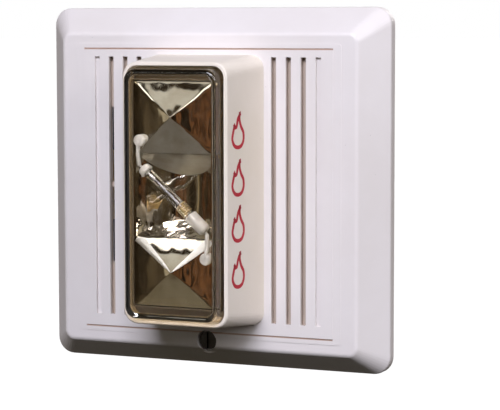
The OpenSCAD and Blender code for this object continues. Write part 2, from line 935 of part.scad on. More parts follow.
module rear_housing_screws() color("silver") {
    length = 6;
    r = 1.05;
    head_r = 2.1;
    head_t = 1.2;
    for (sx = [-1, 1], sz = [-1, 1])
        frame_screw(sx * tray_post[0], sz * tray_post[1], tray_back, tray_back - length, r, head_r, head_t);
}

module circuit_board() color("darkgreen") {
    difference() {
        box([-board_w / 2, board_front, -board_h / 2], [board_w / 2, board_back, board_h / 2]);
        for (sx = [-1, 1], sz = [-1, 1])
            rod_y(sx * board_post[0], sz * board_post[1], clear_r, board_front - 1, board_back + 1, 32);
    }
}

module board_screws() color("silver") {
    length = 6;
    r = 1.05;
    head_r = 2;
    head_t = 1.4;
    for (sx = [-1, 1], sz = [-1, 1])
        mirror_y(board_front)
            frame_screw(sx * board_post[0], sz * board_post[1], board_front, board_front - length, r,
                        head_r, head_t);
}

// Turns a screw around, so that its head faces the front
module mirror_y(y) {
    translate([0, y, 0])
        mirror([0, 1, 0])
            translate([0, -y, 0])
                children();
}

// Photoflash capacitor lying on the board, with its rolled groove
module flash_capacitor() color("midnightblue") {
    r = 6.5;
    length = 28;
    ease = 0.6;
    rolled = 3;
    translate([-6, board_front - r, -25])
        rotate_extrude($fn = fine_fn)
            polygon([[0, 0], [r - ease, 0], [r, ease], [r, rolled], [r - 0.7, rolled + ease],
                     [r, rolled + 2 * ease], [r, length - ease], [r - ease, length], [0, length]]);
}

module transformer_core() color("dimgray") {
    x = trafo[0];
    z = trafo[1];
    half = trafo_half;
    difference() {
        box([x - half, board_front - 11, z - half], [x + half, board_front - 1, z + half]);
        // Two windows that the winding passes through
        for (s = [-1, 1])
            box([x + s * trafo_window - trafo_window_half, board_front - 12, z - trafo_open],
                [x + s * trafo_window + trafo_window_half, board_front, z + trafo_open]);
    }
}

module transformer_winding() color("peru") {
    x = trafo[0];
    z = trafo[1];
    gap = 0.15;
    outer = trafo_window + trafo_window_half - gap;
    inner = trafo_window - trafo_window_half + gap;
    high = trafo_open - gap;
    reach = trafo_half + 1;
    difference() {
        box([x - outer, board_front - 13, z - high], [x + outer, board_front, z + high]);
        for (s = [-1, 1])
            box([x + s * trafo_half - trafo_half + outer, board_front - 12, z - reach],
                [x + s * trafo_half + trafo_half - outer, board_front - 0.9, z + reach]);
        box([x - inner, board_front - 11.1, z - reach], [x + inner, board_front - 0.9, z + reach]);
    }
}

module trigger_coil() color("black") {
    x = 16;
    z = -7;
    coil_r = 2.7;
    flange_r = 3.4;
    flange_in = 4;
    flange_out = 5.6;
    y = board_front - flange_r - 0.1;
    rod([x, y, z - 5], [x, y, z + 5], coil_r, 32);
    for (s = [-1, 1])
        rod([x, y, z + s * flange_in], [x, y, z + s * flange_out], flange_r, 32);
}

module control_chip() color("black") {
    x = 5.5;
    z = -20;
    half_w = 3.2;
    half_h = 2.6;
    pin_pitch = 1.27;
    pin_half = 0.2;
    box([x - half_w, board_front - 1.8, z - half_h], [x + half_w, board_front - 0.3, z + half_h]);
    for (i = [-1.5:1:1.5], s = [-1, 1])
        box([x + i * pin_pitch - pin_half, board_front - 1, z + s * 3 - 0.6],
            [x + i * pin_pitch + pin_half, board_front, z + s * 3 + 0.6]);
}

module power_transistor() color("black") {
    x = -16.5;
    z = 9;
    box([x - 3.3, board_front - 2.3, z - 3], [x + 3.3, board_front, z + 3]);
    box([x - 2.6, board_front - 0.6, z + 2.8], [x + 2.6, board_front, z + 4.8]);
    for (s = [-1, 1])
        box([x + s * 2.2 - 0.4, board_front - 0.6, z - 5.4], [x + s * 2.2 + 0.4, board_front, z - 2.9]);
}

module small_resistors() color("tan") {
    x = 14.2;
    y = board_front - 1;
    half = 3;
    spacing = 2.6;
    for (i = [0:3]) {
        z = 1 + i * spacing;
        rod([x - half, y, z], [x + half, y, z], 0.9, 24);
        for (s = [-1, 1])
            rod_y(x + s * (half - 0.4), z, 0.3, y, board_front, 16);
    }
}

// ---------- wiring terminals ----------

module terminal_block() color("darkgreen") {
    low = block_z - block_h / 2;
    high = block_z + block_h / 2;
    difference() {
        box([-block_w / 2, board_back, low], [block_w / 2, block_back, high]);
        for (i = [1:terminal_count]) {
            x = terminal_x(i);
            // Bay open to the back and to the bottom, where the wire enters
            box([x - bay_w / 2, bay_floor, low - 1], [x + bay_w / 2, block_back + 1, high - bay_top]);
            rod_y(x, terminal_z, terminal_r + 0.3, bay_floor - 3.8, bay_floor + 1, 32);
        }
    }
}

module terminal_contacts() color("goldenrod") {
    for (i = [1:terminal_count]) {
        x = terminal_x(i);
        difference() {
            box([x - bay_w / 2, bay_floor, block_z - block_h / 2 + 0.4],
                [x + bay_w / 2, bay_floor + contact_t, block_z + block_h / 2 - bay_top]);
            rod_y(x, terminal_z, terminal_r + terminal_fit, bay_floor - 1, bay_floor + 2);
        }
    }
}

module terminal_clamp(i) color("silver") {
    half = 3.3;
    x = terminal_x(i);
    difference() {
        box([x - half, clamp_y, terminal_z - half], [x + half, clamp_y + clamp_t, terminal_z + half]);
        rod_y(x, terminal_z, terminal_r + terminal_fit, clamp_y - 1, clamp_y + 2);
    }
}

module terminal_screw(i) color("gainsboro") {
    x = terminal_x(i);
    head_y = clamp_y + clamp_t + 0.05;
    difference() {
        union() {
            rod_y(x, terminal_z, terminal_r, bay_floor - 3, head_y + lap);
            rod_y(x, terminal_z, terminal_head_r, head_y, head_y + terminal_head_t);
        }
        cross_recess(x, terminal_z, head_y + terminal_head_t, 3.6);
    }
}

module terminal_clamp_1() terminal_clamp(1);
module terminal_clamp_2() terminal_clamp(2);
module terminal_clamp_3() terminal_clamp(3);
module terminal_clamp_4() terminal_clamp(4);
module terminal_screw_1() terminal_screw(1);
module terminal_screw_2() terminal_screw(2);
module terminal_screw_3() terminal_screw(3);
module terminal_screw_4() terminal_screw(4);

// ---------- switches ----------

// Brightness selector with four positions, 2 mm apart
module candela_switch() color("black") {
    half = [7, 3.2];
    track = [5.2, 1.6];
    difference() {
        box([candela_x - half[0], board_back, candela_z - half[1]],
            [candela_x + half[0], switch_back, candela_z + half[1]]);
        box([candela_x - track[0], track_floor, candela_z - track[1]],
            [candela_x + track[0], switch_back + 1, candela_z + track[1]]);
    }
}

module candela_slider() color("white") {
    x = candela_x - 3;
    half = [1.2, 1.3];
    box([x - half[0], track_floor + slider_gap, candela_z - half[1]],
        [x + half[0], knob_back, candela_z + half[1]]);
}

// Two small slide switches in one body: tone and volume
module mode_switch() color("firebrick") {
    half = [5, 4];
    track = [0.8, 2.8];
    difference() {
        box([mode_x - half[0], board_back, mode_z - half[1]],
            [mode_x + half[0], switch_back, mode_z + half[1]]);
        for (s = [-1, 1]) {
            x = mode_x + s * mode_gap / 2;
            box([x - track[0], track_floor, mode_z - track[1]],
                [x + track[0], switch_back + 1, mode_z + track[1]]);
        }
    }
}

module mode_slider(side) {
    x = mode_x + side * mode_gap / 2;
    half = 0.5;
    low = mode_z - 2.4;
    box([x - half, track_floor + slider_gap, low], [x + half, mode_knob_back, low + 2]);
}

module tone_slider() color("white") {
    mode_slider(-1);
}

module volume_slider() color("white") {
    mode_slider(1);
}

// ---------- captive screw ----------

module captive_screw() color("black") {
    head_y = recess_y - 0.05;
    head_t = 1.7;
    slot_half = 0.5;
    difference() {
        union() {
            rod_y(0, screw_z, screw_head_r, head_y - head_t, head_y);
            rod_y(0, screw_z, screw_r, head_y - lap, retainer_y - 0.1);
            rod_y(0, screw_z, neck_r, retainer_y - 0.2, retainer_y + retainer_t + 0.2);
            rod_y(0, screw_z, screw_r, retainer_y + retainer_t + 0.1, screw_tip);
        }
        box([-slot_half, head_y - head_t - 1, screw_z - 4], [slot_half, head_y - 0.8, screw_z + 4]);
    }
}

// Snap ring that keeps the loosened screw in the cover
module screw_retainer() color("gray") {
    difference() {
        rod_y(0, screw_z, retainer_r, retainer_y, retainer_y + retainer_t);
        rod_y(0, screw_z, neck_r + 0.06, retainer_y - 1, retainer_y + retainer_t + 1);
    }
}

mounting_plate();
front_cover();
lens_housing();
lens();
lens_gasket();
reflector();
reflector_shroud();
flash_tube();
tube_cap_upper();
tube_cap_lower();
trigger_band();
tube_leads();
lead_sleeves();
housing_frame();
housing_screws();
reflector_screws();
horn_chamber();
horn_gasket();
piezo_disc();
piezo_ceramic();
horn_cap();
piezo_leads();
rear_housing();
rear_housing_screws();
circuit_board();
board_screws();
flash_capacitor();
transformer_core();
transformer_winding();
trigger_coil();
control_chip();
power_transistor();
small_resistors();
terminal_block();
terminal_contacts();
terminal_clamp_1();
terminal_clamp_2();
terminal_clamp_3();
terminal_clamp_4();
terminal_screw_1();
terminal_screw_2();
terminal_screw_3();
terminal_screw_4();
candela_switch();
candela_slider();
mode_switch();
tone_slider();
volume_slider();
captive_screw();
screw_retainer();
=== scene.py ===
import math

import bpy
from mathutils import Matrix, Vector


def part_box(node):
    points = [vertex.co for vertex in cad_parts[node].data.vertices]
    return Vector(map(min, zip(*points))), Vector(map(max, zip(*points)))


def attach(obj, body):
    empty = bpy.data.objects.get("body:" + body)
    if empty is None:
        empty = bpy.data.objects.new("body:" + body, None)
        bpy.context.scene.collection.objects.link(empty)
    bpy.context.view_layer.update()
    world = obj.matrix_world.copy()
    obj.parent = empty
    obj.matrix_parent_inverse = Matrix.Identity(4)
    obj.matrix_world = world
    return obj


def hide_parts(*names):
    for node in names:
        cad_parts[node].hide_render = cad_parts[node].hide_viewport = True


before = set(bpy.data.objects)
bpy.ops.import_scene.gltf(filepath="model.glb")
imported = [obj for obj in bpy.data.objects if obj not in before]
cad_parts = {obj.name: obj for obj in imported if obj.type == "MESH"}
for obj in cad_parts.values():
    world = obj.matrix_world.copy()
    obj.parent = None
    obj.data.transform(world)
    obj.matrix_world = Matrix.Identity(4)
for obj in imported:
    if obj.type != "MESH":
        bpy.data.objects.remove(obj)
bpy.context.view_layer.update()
mm = 0.001
FRONT = "front_assembly"
# Corners of a rectangle: sign of x, sign of z, and the angle in degrees where the corner's arc starts
CORNERS = ((1, 1, 0), (-1, 1, 90), (-1, -1, 180), (1, -1, 270))

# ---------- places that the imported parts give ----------

lens_low, lens_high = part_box("lens")
housing_low, housing_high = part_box("lens_housing")
reflector_low, reflector_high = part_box("reflector")
tube_low, tube_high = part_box("flash_tube")


# ---------- mesh helpers ----------

def mesh_object(name, points, faces, smooth=True):
    """A new mesh from points in metres."""
    mesh = bpy.data.meshes.new(name)
    mesh.from_pydata([tuple(p) for p in points], [], faces)
    mesh.validate()
    mesh.update()
    mesh.polygons.foreach_set("use_smooth", [smooth] * len(mesh.polygons))
    obj = bpy.data.objects.new(name, mesh)
    bpy.context.scene.collection.objects.link(obj)
    return obj


def rounded_ring(width, height, radius, y, steps):
    """Points round a rectangle with round corners, in the plane at depth y."""
    points = []
    for sx, sz, start in CORNERS:
        for k in range(steps + 1):
            a = math.radians(start + 90 * k / steps)
            x = sx * (width / 2 - radius) + radius * math.cos(a)
            z = sz * (height / 2 - radius) + radius * math.sin(a)
            points.append(Vector((x, y, z)))
    return points


def loft(rings, cap_first=True, flip=False):
    """Points and faces of a surface through rings of equal length, closed at its last ring."""
    count = len(rings[0])
    points = [p for ring in rings for p in ring]
    faces = []
    for r in range(len(rings) - 1):
        for k in range(count):
            n = (k + 1) % count
            a, b = r * count + k, r * count + n
            c, d = a + count, b + count
            faces.append((a, b, d, c))
    if cap_first:
        faces.append(tuple(reversed(range(count))))
    last = (len(rings) - 1) * count
    faces.append(tuple(range(last, last + count)))
    if flip:
        faces = [tuple(reversed(f)) for f in faces]
    return points, faces


def join_parts(parts):
    """One list of points and faces from several."""
    points, faces = [], []
    for part_points, part_faces in parts:
        base = len(points)
        points += part_points
        faces += [tuple(base + i for i in f) for f in part_faces]
    return points, faces


def sweep(path, radius, sides):
    """Points and faces of a round wire along an open path."""
    count = len(path)
    points, faces = [], []
    up = Vector((0, 1, 0))
    for i, p in enumerate(path):
        before = path[max(i - 1, 0)]
        after = path[min(i + 1, count - 1)]
        along = (after - before).normalized()
        side = along.cross(up).normalized()
        over = side.cross(along)
        for k in range(sides):
            a = 2 * math.pi * k / sides
            points.append(p + radius * (side * math.cos(a) + over * math.sin(a)))
    for i in range(count - 1):
        j = i + 1
        for k in range(sides):
            n = (k + 1) % sides
            faces.append((i * sides + k, j * sides + k, j * sides + n, i * sides + n))
    faces.append(tuple(range(sides)))
    faces.append(tuple((count - 1) * sides + k for k in reversed(range(sides))))
    return points, faces


def turned(profile, start, along, steps=32):
    """Points and faces of a solid of revolution; profile is (distance along, radius) pairs."""
    along = along.normalized()
    side = along.orthogonal().normalized()
    over = along.cross(side)
    rings = []
    for distance, radius in profile:
        centre = start + along * distance
        ring = []
        for k in range(steps):
            a = 2 * math.pi * k / steps
            ring.append(centre + radius * (side * math.cos(a) + over * math.sin(a)))
        rings.append(ring)
    return loft(rings)


weld_reach = 0.01 * mm
soft_segments = 2
soft_angle = math.radians(32)


def softened(node, width):
    """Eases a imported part's edges in the render, without changing its mesh."""
    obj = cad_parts[node]
    weld = obj.modifiers.new("weld", "WELD")
    weld.merge_threshold = weld_reach
    bevel = obj.modifiers.new("edges", "BEVEL")
    bevel.width = width
    bevel.segments = soft_segments
    bevel.limit_method = "ANGLE"
    bevel.angle_limit = soft_angle
    bevel.harden_normals = True


# ---------- material helpers ----------

shade_edge = 0.1 * mm


class Build:
    """A material and the few nodes that most of them share."""

    def __init__(self, name):
        self.material = bpy.data.materials.new(name)
        self.material.use_nodes = True
        self.tree = self.material.node_tree
        self.tree.nodes.clear()
        self.out = self.node("ShaderNodeOutputMaterial")
        self.shader = self.node("ShaderNodeBsdfPrincipled")
        self.link(self.shader.outputs[0], self.out.inputs["Surface"])
        self.place = self.node("ShaderNodeTexCoord").outputs["Object"]
        self.normal = None

    def node(self, kind):
        return self.tree.nodes.new(kind)

    def link(self, a, b):
        self.tree.links.new(a, b)

    def noise(self, scale, detail=4, rough=0.55, stretch=None):
        where = self.place
        if stretch:
            mapping = self.node("ShaderNodeMapping")
            mapping.inputs["Scale"].default_value = stretch
            self.link(where, mapping.inputs["Vector"])
            where = mapping.outputs[0]
        n = self.node("ShaderNodeTexNoise")
        n.inputs["Scale"].default_value = scale
        n.inputs["Detail"].default_value = detail
        n.inputs["Roughness"].default_value = rough
        self.link(where, n.inputs["Vector"])
        return n.outputs["Fac"]

    def cells(self, scale):
        v = self.node("ShaderNodeTexVoronoi")
        v.inputs["Scale"].default_value = scale
        self.link(self.place, v.inputs["Vector"])
        return v

    def ramp(self, value, low, high, out_low=0.0, out_high=1.0):
        m = self.node("ShaderNodeMapRange")
        m.inputs["From Min"].default_value = low
        m.inputs["From Max"].default_value = high
        m.inputs["To Min"].default_value = out_low
        m.inputs["To Max"].default_value = out_high
        self.link(value, m.inputs["Value"])
        return m.outputs[0]

    def mix(self, factor, a, b):
        m = self.node("ShaderNodeMix")
        m.data_type = "RGBA"
        self.link(factor, m.inputs[0])
        for value, socket in ((a, m.inputs[6]), (b, m.inputs[7])):
            if isinstance(value, (tuple, list)):
                socket.default_value = (*value, 1)
            else:
                self.link(value, socket)
        return m.outputs[2]

    def within(self, value, low, high, soft):
        """1 where the value lies between low and high."""
        rising = self.ramp(value, low - soft, low + soft)
        falling = self.ramp(value, high - soft, high + soft, 1.0, 0.0)
        both = self.node("ShaderNodeMath")
        both.operation = "MULTIPLY"
        self.link(rising, both.inputs[0])
        self.link(falling, both.inputs[1])
        return both.outputs[0]

    def painted_shade_box(self, base, depth_low, depth_high, half_x, z_low, z_high, colour):
        """Painted shade between two depths, inside a rectangle."""
        split = self.node("ShaderNodeSeparateXYZ")
        self.link(self.place, split.inputs[0])
        masks = (self.within(split.outputs[0], -half_x, half_x, shade_edge),
                 self.within(split.outputs[1], depth_low, depth_high, shade_edge),
                 self.within(split.outputs[2], z_low, z_high, shade_edge))
        total = masks[0]
        for one in masks[1:]:
            both = self.node("ShaderNodeMath")
            both.operation = "MULTIPLY"
            self.link(total, both.inputs[0])
            self.link(one, both.inputs[1])
            total = both.outputs[0]
        return self.mix(total, base, colour)

    def bump(self, value, height, strength=1.0):
        b = self.node("ShaderNodeBump")
        b.inputs["Strength"].default_value = strength
        b.inputs["Distance"].default_value = height
        self.link(value, b.inputs["Height"])
        if self.normal is not None:
            self.link(self.normal, b.inputs["Normal"])
        self.normal = b.outputs[0]

    def done(self):
        if self.normal is not None:
            self.link(self.normal, self.shader.inputs["Normal"])
        return self.material


def set_up(b, metallic=0.0, ior=1.5, coat=0.0, coat_rough=0.1, sheen=0.0, transmission=0.0):
    s = b.shader.inputs
    s["Metallic"].default_value = metallic
    s["IOR"].default_value = ior
    s["Coat Weight"].default_value = coat
    s["Coat Roughness"].default_value = coat_rough
    s["Sheen Weight"].default_value = sheen
    s["Transmission Weight"].default_value = transmission


def moulded(name, colour, aged, rough=(0.38, 0.5), grain=900, grain_height=0.02 * mm, cloud=22, specks=0.0,
            painted_shade_boxes=()):
    """Injection-moulded plastic: fine spark-eroded grain, faint clouds of colour, a few specks and scuffs,
    and painted shade in any given boxes.
    """
    b = Build(name)
    set_up(b)
    clouds = b.ramp(b.noise(cloud, detail=5, rough=0.6), low=0.35, high=0.7)
    base = b.mix(clouds, colour, aged)
    if specks:
        dots = b.cells(scale=420)
        mask = b.ramp(dots.outputs["Distance"], low=0.07, high=0.05)
        rare = b.ramp(b.noise(scale=160, detail=2), low=0.62, high=0.66, out_high=specks)
        both = b.node("ShaderNodeMath")
        both.operation = "MULTIPLY"
        b.link(mask, both.inputs[0])
        b.link(rare, both.inputs[1])
        speck_dark = 0.35
        base = b.mix(both.outputs[0], base, tuple(speck_dark * c for c in aged))
    # Each given box darkens the colour there as painted shade
    for one in painted_shade_boxes:
        base = b.painted_shade_box(base, *one)
    b.link(base, b.shader.inputs["Base Color"])
    rough_low, rough_high = rough
    worn = b.noise(scale=60, detail=6, rough=0.7)
    b.link(b.ramp(worn, 0.3, 0.75, rough_low, rough_high), b.shader.inputs["Roughness"])
    b.bump(b.noise(grain, detail=3, rough=0.6), grain_height)
    b.bump(b.noise(scale=14, detail=2, rough=0.5), height=0.12 * mm, strength=0.5)
    return b.done()


def metal(name, colour, dark, rough=(0.22, 0.42), brush=None, pits=260, height=0.01 * mm):
    """Bare or plated metal: brushing or pits, and dull patches."""
    b = Build(name)
    set_up(b, metallic=1.0)
    patches = b.ramp(b.noise(scale=120, detail=5, rough=0.65), low=0.35, high=0.7)
    b.link(b.mix(patches, colour, dark), b.shader.inputs["Base Color"])
    rough_low, rough_high = rough
    dull = b.noise(pits, detail=5, rough=0.7, stretch=brush)
    b.link(b.ramp(dull, 0.3, 0.7, rough_low, rough_high), b.shader.inputs["Roughness"])
    b.bump(b.noise(pits * 3, detail=3, rough=0.6, stretch=brush), height)
    return b.done()


def spangled(name):
    """Zinc-plated sheet with large crystals, handling marks and dull spots."""
    b = Build(name)
    set_up(b, metallic=1.0)
    crystals = b.cells(scale=170)
    tone = b.node("ShaderNodeSeparateColor")
    b.link(crystals.outputs["Color"], tone.inputs[0])
    zinc_dark = (0.56, 0.57, 0.56)
    zinc_light = (0.72, 0.73, 0.71)
    handled = (0.5, 0.46, 0.38)
    base = b.mix(tone.outputs[0], zinc_dark, zinc_light)
    smear = b.ramp(b.noise(scale=30, detail=6, rough=0.65), low=0.5, high=0.8, out_high=0.6)
    b.link(b.mix(smear, base, handled), b.shader.inputs["Base Color"])
    b.link(b.ramp(tone.outputs[1], 0.0, 1.0, out_low=0.26, out_high=0.48), b.shader.inputs["Roughness"])
    b.bump(tone.outputs[2], height=0.01 * mm, strength=0.6)
    b.bump(b.noise(scale=700, detail=3), height=0.006 * mm)
    return b.done()


def rubbery(name, colour, light, rough=(0.6, 0.8), grain=1500, height=0.03 * mm):
    """Rubber or foam."""
    b = Build(name)
    set_up(b, sheen=0.15)
    b.link(b.mix(b.noise(scale=90, detail=5, rough=0.6), colour, light), b.shader.inputs["Base Color"])
    rough_low, rough_high = rough
    b.link(b.ramp(b.noise(scale=140), 0.3, 0.7, rough_low, rough_high), b.shader.inputs["Roughness"])
    b.bump(b.noise(grain, detail=3, rough=0.7), height)
    return b.done()


def clear_plastic(name, tint, rough, ior, wave=None):
    """Clear plastic or glass that lets the lamps' light through."""
    b = Build(name)
    set_up(b, ior=ior, transmission=1.0)
    b.shader.inputs["Base Color"].default_value = (*tint, 1)
    rough_low, rough_high = rough
    hazy = b.noise(scale=55, rough=0.6)
    b.link(b.ramp(hazy, 0.4, 0.75, rough_low, rough_high), b.shader.inputs["Roughness"])
    if wave:
        wave_scale, wave_height = wave
        b.bump(b.noise(wave_scale, detail=2, rough=0.4), wave_height)
    light_passed = 0.96
    through = b.node("ShaderNodeBsdfTransparent")
    through.inputs[0].default_value = (*(light_passed * c for c in tint), 1)
    path = b.node("ShaderNodeLightPath")
    both = b.node("ShaderNodeMixShader")
    b.link(path.outputs["Is Shadow Ray"], both.inputs[0])
    b.link(b.shader.outputs[0], both.inputs[1])
    b.link(through.outputs[0], both.inputs[2])
    b.link(both.outputs[0], b.out.inputs["Surface"])
    return b.done()


def silicone(name, tint, deep, rough=(0.3, 0.5)):
    """Translucent silicone rubber, milky with clearer places."""
    b = Build(name)
    set_up(b, ior=1.42, transmission=0.62)
    b.link(b.mix(b.noise(scale=320, rough=0.6), tint, deep), b.shader.inputs["Base Color"])
    rough_low, rough_high = rough
    b.link(b.ramp(b.noise(scale=240), 0.3, 0.7, rough_low, rough_high), b.shader.inputs["Roughness"])
    b.bump(b.noise(scale=520, detail=3, rough=0.6), height=0.16 * mm)
    return b.done()


def mirror_coat(name):
    """Vacuum-metallised plastic: bright, slightly warm, with soft waves and a few dull spots."""
    b = Build(name)
    set_up(b, metallic=1.0)
    bright = (0.86, 0.82, 0.74)
    hazy = (0.62, 0.55, 0.44)
    flow = (1, 1, 0.55)
    haze = b.ramp(b.noise(scale=85, detail=5, rough=0.6), low=0.45, high=0.8)
    b.link(b.mix(haze, bright, hazy), b.shader.inputs["Base Color"])
    dull = b.ramp(b.noise(scale=200, rough=0.6), 0.35, 0.8, out_low=0.02, out_high=0.12)
    b.link(dull, b.shader.inputs["Roughness"])
    b.bump(b.noise(scale=110, detail=2, rough=0.45, stretch=flow), height=0.8 * mm, strength=0.7)
    return b.done()


def board(name):
    """Solder mask over copper tracks."""
    b = Build(name)
    set_up(b, coat=0.4, coat_rough=0.15)
    tracks = b.node("ShaderNodeTexBrick")
    tracks.inputs["Scale"].default_value = 260
    tracks.inputs["Mortar Size"].default_value = 0.012
    tracks.inputs["Color1"].default_value = (0.012, 0.10, 0.045, 1)
    tracks.inputs["Color2"].default_value = (0.018, 0.13, 0.06, 1)
    tracks.inputs["Mortar"].default_value = (0.05, 0.22, 0.11, 1)
    b.link(b.place, tracks.inputs["Vector"])
    b.link(tracks.outputs["Color"], b.shader.inputs["Base Color"])
    b.link(b.ramp(b.noise(scale=150), 0.3, 0.7, out_low=0.25, out_high=0.4), b.shader.inputs["Roughness"])
    b.bump(tracks.outputs["Fac"], height=0.03 * mm)
    return b.done()


# ---------- painted shade in the cover's grooves and along its raised panel's edge ---

face_y = housing_high.y + 0.3 * mm
grille_x = 46.6 * mm
grille_z = 46 * mm
groove_from = 0.95 * mm
groove_to = 2.1 * mm
line_z = 48.7 * mm
line_mid = -0.8 * mm
line_reach = 0.35 * mm
line_from = -0.22 * mm
line_to = 0.25 * mm
groove_shade_brown = (0.50, 0.41, 0.34)
line_shade_brown = (0.52, 0.36, 0.28)
# Brown painted shade on the groove floors
groove_painted_shade = [(face_y + groove_from, face_y + groove_to, grille_x, -grille_z, grille_z, groove_shade_brown)]
# Brown painted shade in the two thin lines along the raised panel's edge, above and below the grille
for side in (-1, 1):
    middle_z = line_mid + side * line_z
    groove_painted_shade.append((face_y + line_from, face_y + line_to, grille_x, middle_z - line_reach,
                        middle_z + line_reach, line_shade_brown))

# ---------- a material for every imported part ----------

white_plastic = moulded("cover_plastic", (0.81, 0.765, 0.745), (0.76, 0.71, 0.68), (0.36, 0.5), specks=0.5,
                        painted_shade_boxes=groove_painted_shade)
housing_plastic = moulded("housing_plastic", (0.86, 0.785, 0.69), (0.80, 0.72, 0.60), (0.34, 0.46),
                          specks=0.4)
silicone_milky = silicone("silicone_milky", (0.86, 0.82, 0.74), (0.62, 0.57, 0.48))
sleeve_milky = silicone("sleeve_milky", (0.84, 0.81, 0.74), (0.66, 0.62, 0.54), (0.35, 0.5))
foam = rubbery("foam_black", (0.012, 0.012, 0.012), (0.03, 0.03, 0.03), (0.85, 0.95), 2600, 0.2 * mm)
rear_plastic = moulded("rear_plastic", (0.035, 0.036, 0.038), (0.06, 0.06, 0.06), (0.42, 0.6),
                       grain_height=0.05 * mm)
finishes = {
    "front_cover": white_plastic,
    "lens_housing": housing_plastic,
    "lens": clear_plastic("lens_clear", (0.99, 0.98, 0.955), (0.0, 0.012), 1.53, (24, 0.4 * mm)),
    "lens_gasket": rubbery("gasket_rubber", (0.03, 0.03, 0.03), (0.05, 0.05, 0.05)),
    "reflector": mirror_coat("mirror_coat"),
    # The shroud's near-black brown is painted shade for the dark band between lens and reflector
    "reflector_shroud": moulded("shroud_plastic", (0.075, 0.055, 0.033), (0.11, 0.085, 0.05), (0.3, 0.45)),
    "flash_tube": clear_plastic("tube_glass", (0.99, 0.99, 0.98), (0.0, 0.004), 1.47),
    "tube_cap_upper": silicone_milky,
    "trigger_band": metal("trigger_wire", (0.85, 0.62, 0.28), (0.6, 0.4, 0.15)),
    "tube_leads": metal("lead_metal", (0.75, 0.73, 0.68), (0.55, 0.52, 0.46)),
    "lead_sleeves": sleeve_milky,
    "housing_frame": moulded("frame_plastic", (0.68, 0.65, 0.6), (0.6, 0.57, 0.52)),
    "housing_screws": metal("screw_zinc", (0.72, 0.71, 0.66), (0.5, 0.5, 0.47)),
    "horn_chamber": moulded("horn_plastic", (0.04, 0.04, 0.042), (0.07, 0.07, 0.07), (0.4, 0.55)),
    "horn_gasket": foam,
    "piezo_disc": metal("brass_sheet", (0.83, 0.63, 0.3), (0.62, 0.45, 0.2)),
    "piezo_ceramic": moulded("ceramic", (0.62, 0.58, 0.5), (0.55, 0.5, 0.42), (0.45, 0.6)),
    "piezo_leads": moulded("wire_red", (0.45, 0.03, 0.02), (0.36, 0.03, 0.02), (0.35, 0.45)),
    "rear_housing": rear_plastic,
    "circuit_board": board("board_green"),
    "flash_capacitor": moulded("capacitor_sleeve", (0.01, 0.015, 0.06), (0.015, 0.02, 0.09), (0.18, 0.3)),
    "transformer_core": moulded("ferrite", (0.04, 0.038, 0.035), (0.07, 0.065, 0.06), (0.5, 0.7)),
    "transformer_winding": moulded("winding_tape", (0.55, 0.36, 0.08), (0.45, 0.28, 0.05), (0.2, 0.35)),
    "trigger_coil": moulded("coil_black", (0.02, 0.02, 0.02), (0.04, 0.04, 0.04), (0.25, 0.4)),
    "control_chip": moulded("chip_black", (0.018, 0.018, 0.018), (0.03, 0.03, 0.03), (0.4, 0.55)),
    "small_resistors": moulded("resistor_body", (0.5, 0.38, 0.22), (0.42, 0.3, 0.16), (0.3, 0.4)),
    "terminal_block": moulded("terminal_plastic", (0.02, 0.16, 0.07), (0.03, 0.2, 0.09), (0.35, 0.5)),
    "terminal_contacts": metal("contact_metal", (0.8, 0.66, 0.38), (0.6, 0.48, 0.26)),
    "terminal_screw_1": metal("terminal_screw_steel", (0.66, 0.65, 0.62), (0.46, 0.45, 0.42)),
    "candela_switch": moulded("switch_black", (0.02, 0.02, 0.022), (0.035, 0.035, 0.035), (0.3, 0.45)),
    "candela_slider": moulded("slider_white", (0.75, 0.74, 0.7), (0.68, 0.66, 0.6), (0.35, 0.45)),
    "mode_switch": moulded("switch_red", (0.42, 0.03, 0.025), (0.34, 0.025, 0.02), (0.3, 0.42)),
    "captive_screw": metal("black_oxide", (0.045, 0.043, 0.04), (0.09, 0.085, 0.08), (0.3, 0.5)),
    "screw_retainer": metal("clip_steel", (0.5, 0.5, 0.48), (0.36, 0.36, 0.34)),
    "mounting_plate": spangled("zinc_steel"),
}
same_as = {
    "tube_cap_lower": "tube_cap_upper",
    "reflector_screws": "housing_screws",
    "rear_housing_screws": "housing_screws",
    "board_screws": "housing_screws",
    "horn_cap": "horn_chamber",
    "power_transistor": "control_chip",
    "tone_slider": "candela_slider",
    "volume_slider": "candela_slider",
}
for i in range(1, 5):
    same_as["terminal_clamp_%d" % i] = "terminal_screw_1"
    same_as["terminal_screw_%d" % i] = "terminal_screw_1"
for name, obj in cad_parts.items():
    chosen = finishes[name] if name in finishes else finishes[same_as[name]]
    if not obj.material_slots:
        obj.data.materials.append(chosen)
    for one in obj.material_slots:
        one.material = chosen

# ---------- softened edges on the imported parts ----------

edge_widths = {
    0.1 * mm: ("front_cover", "candela_slider", "tone_slider", "volume_slider", "captive_screw"),
    0.15 * mm: ("rear_housing", "terminal_block", "candela_switch", "mode_switch"),
    0.25 * mm: ("lens_housing",),
}
for edge_width, eased in edge_widths.items():
    for node in eased:
        softened(node, edge_width)

# ---------- lens ----------

seat_y = lens_high.y
front_y = lens_low.y
lens_w = lens_high.x - lens_low.x
lens_h = lens_high.z - lens_low.z
lens_wall = 1.6 * mm
lens_corner = 3.9 * mm
lens_taper = 1.0 * mm
lens_edge = 1.2 * mm
lens_inner_edge = 0.5 * mm
ring_steps = 10
straight_rings = 6
bend_rings = 7
# How much of an inset, and of the front edge's bend, the corner radius follows
inset_share = 0.7
bend_share = 0.8


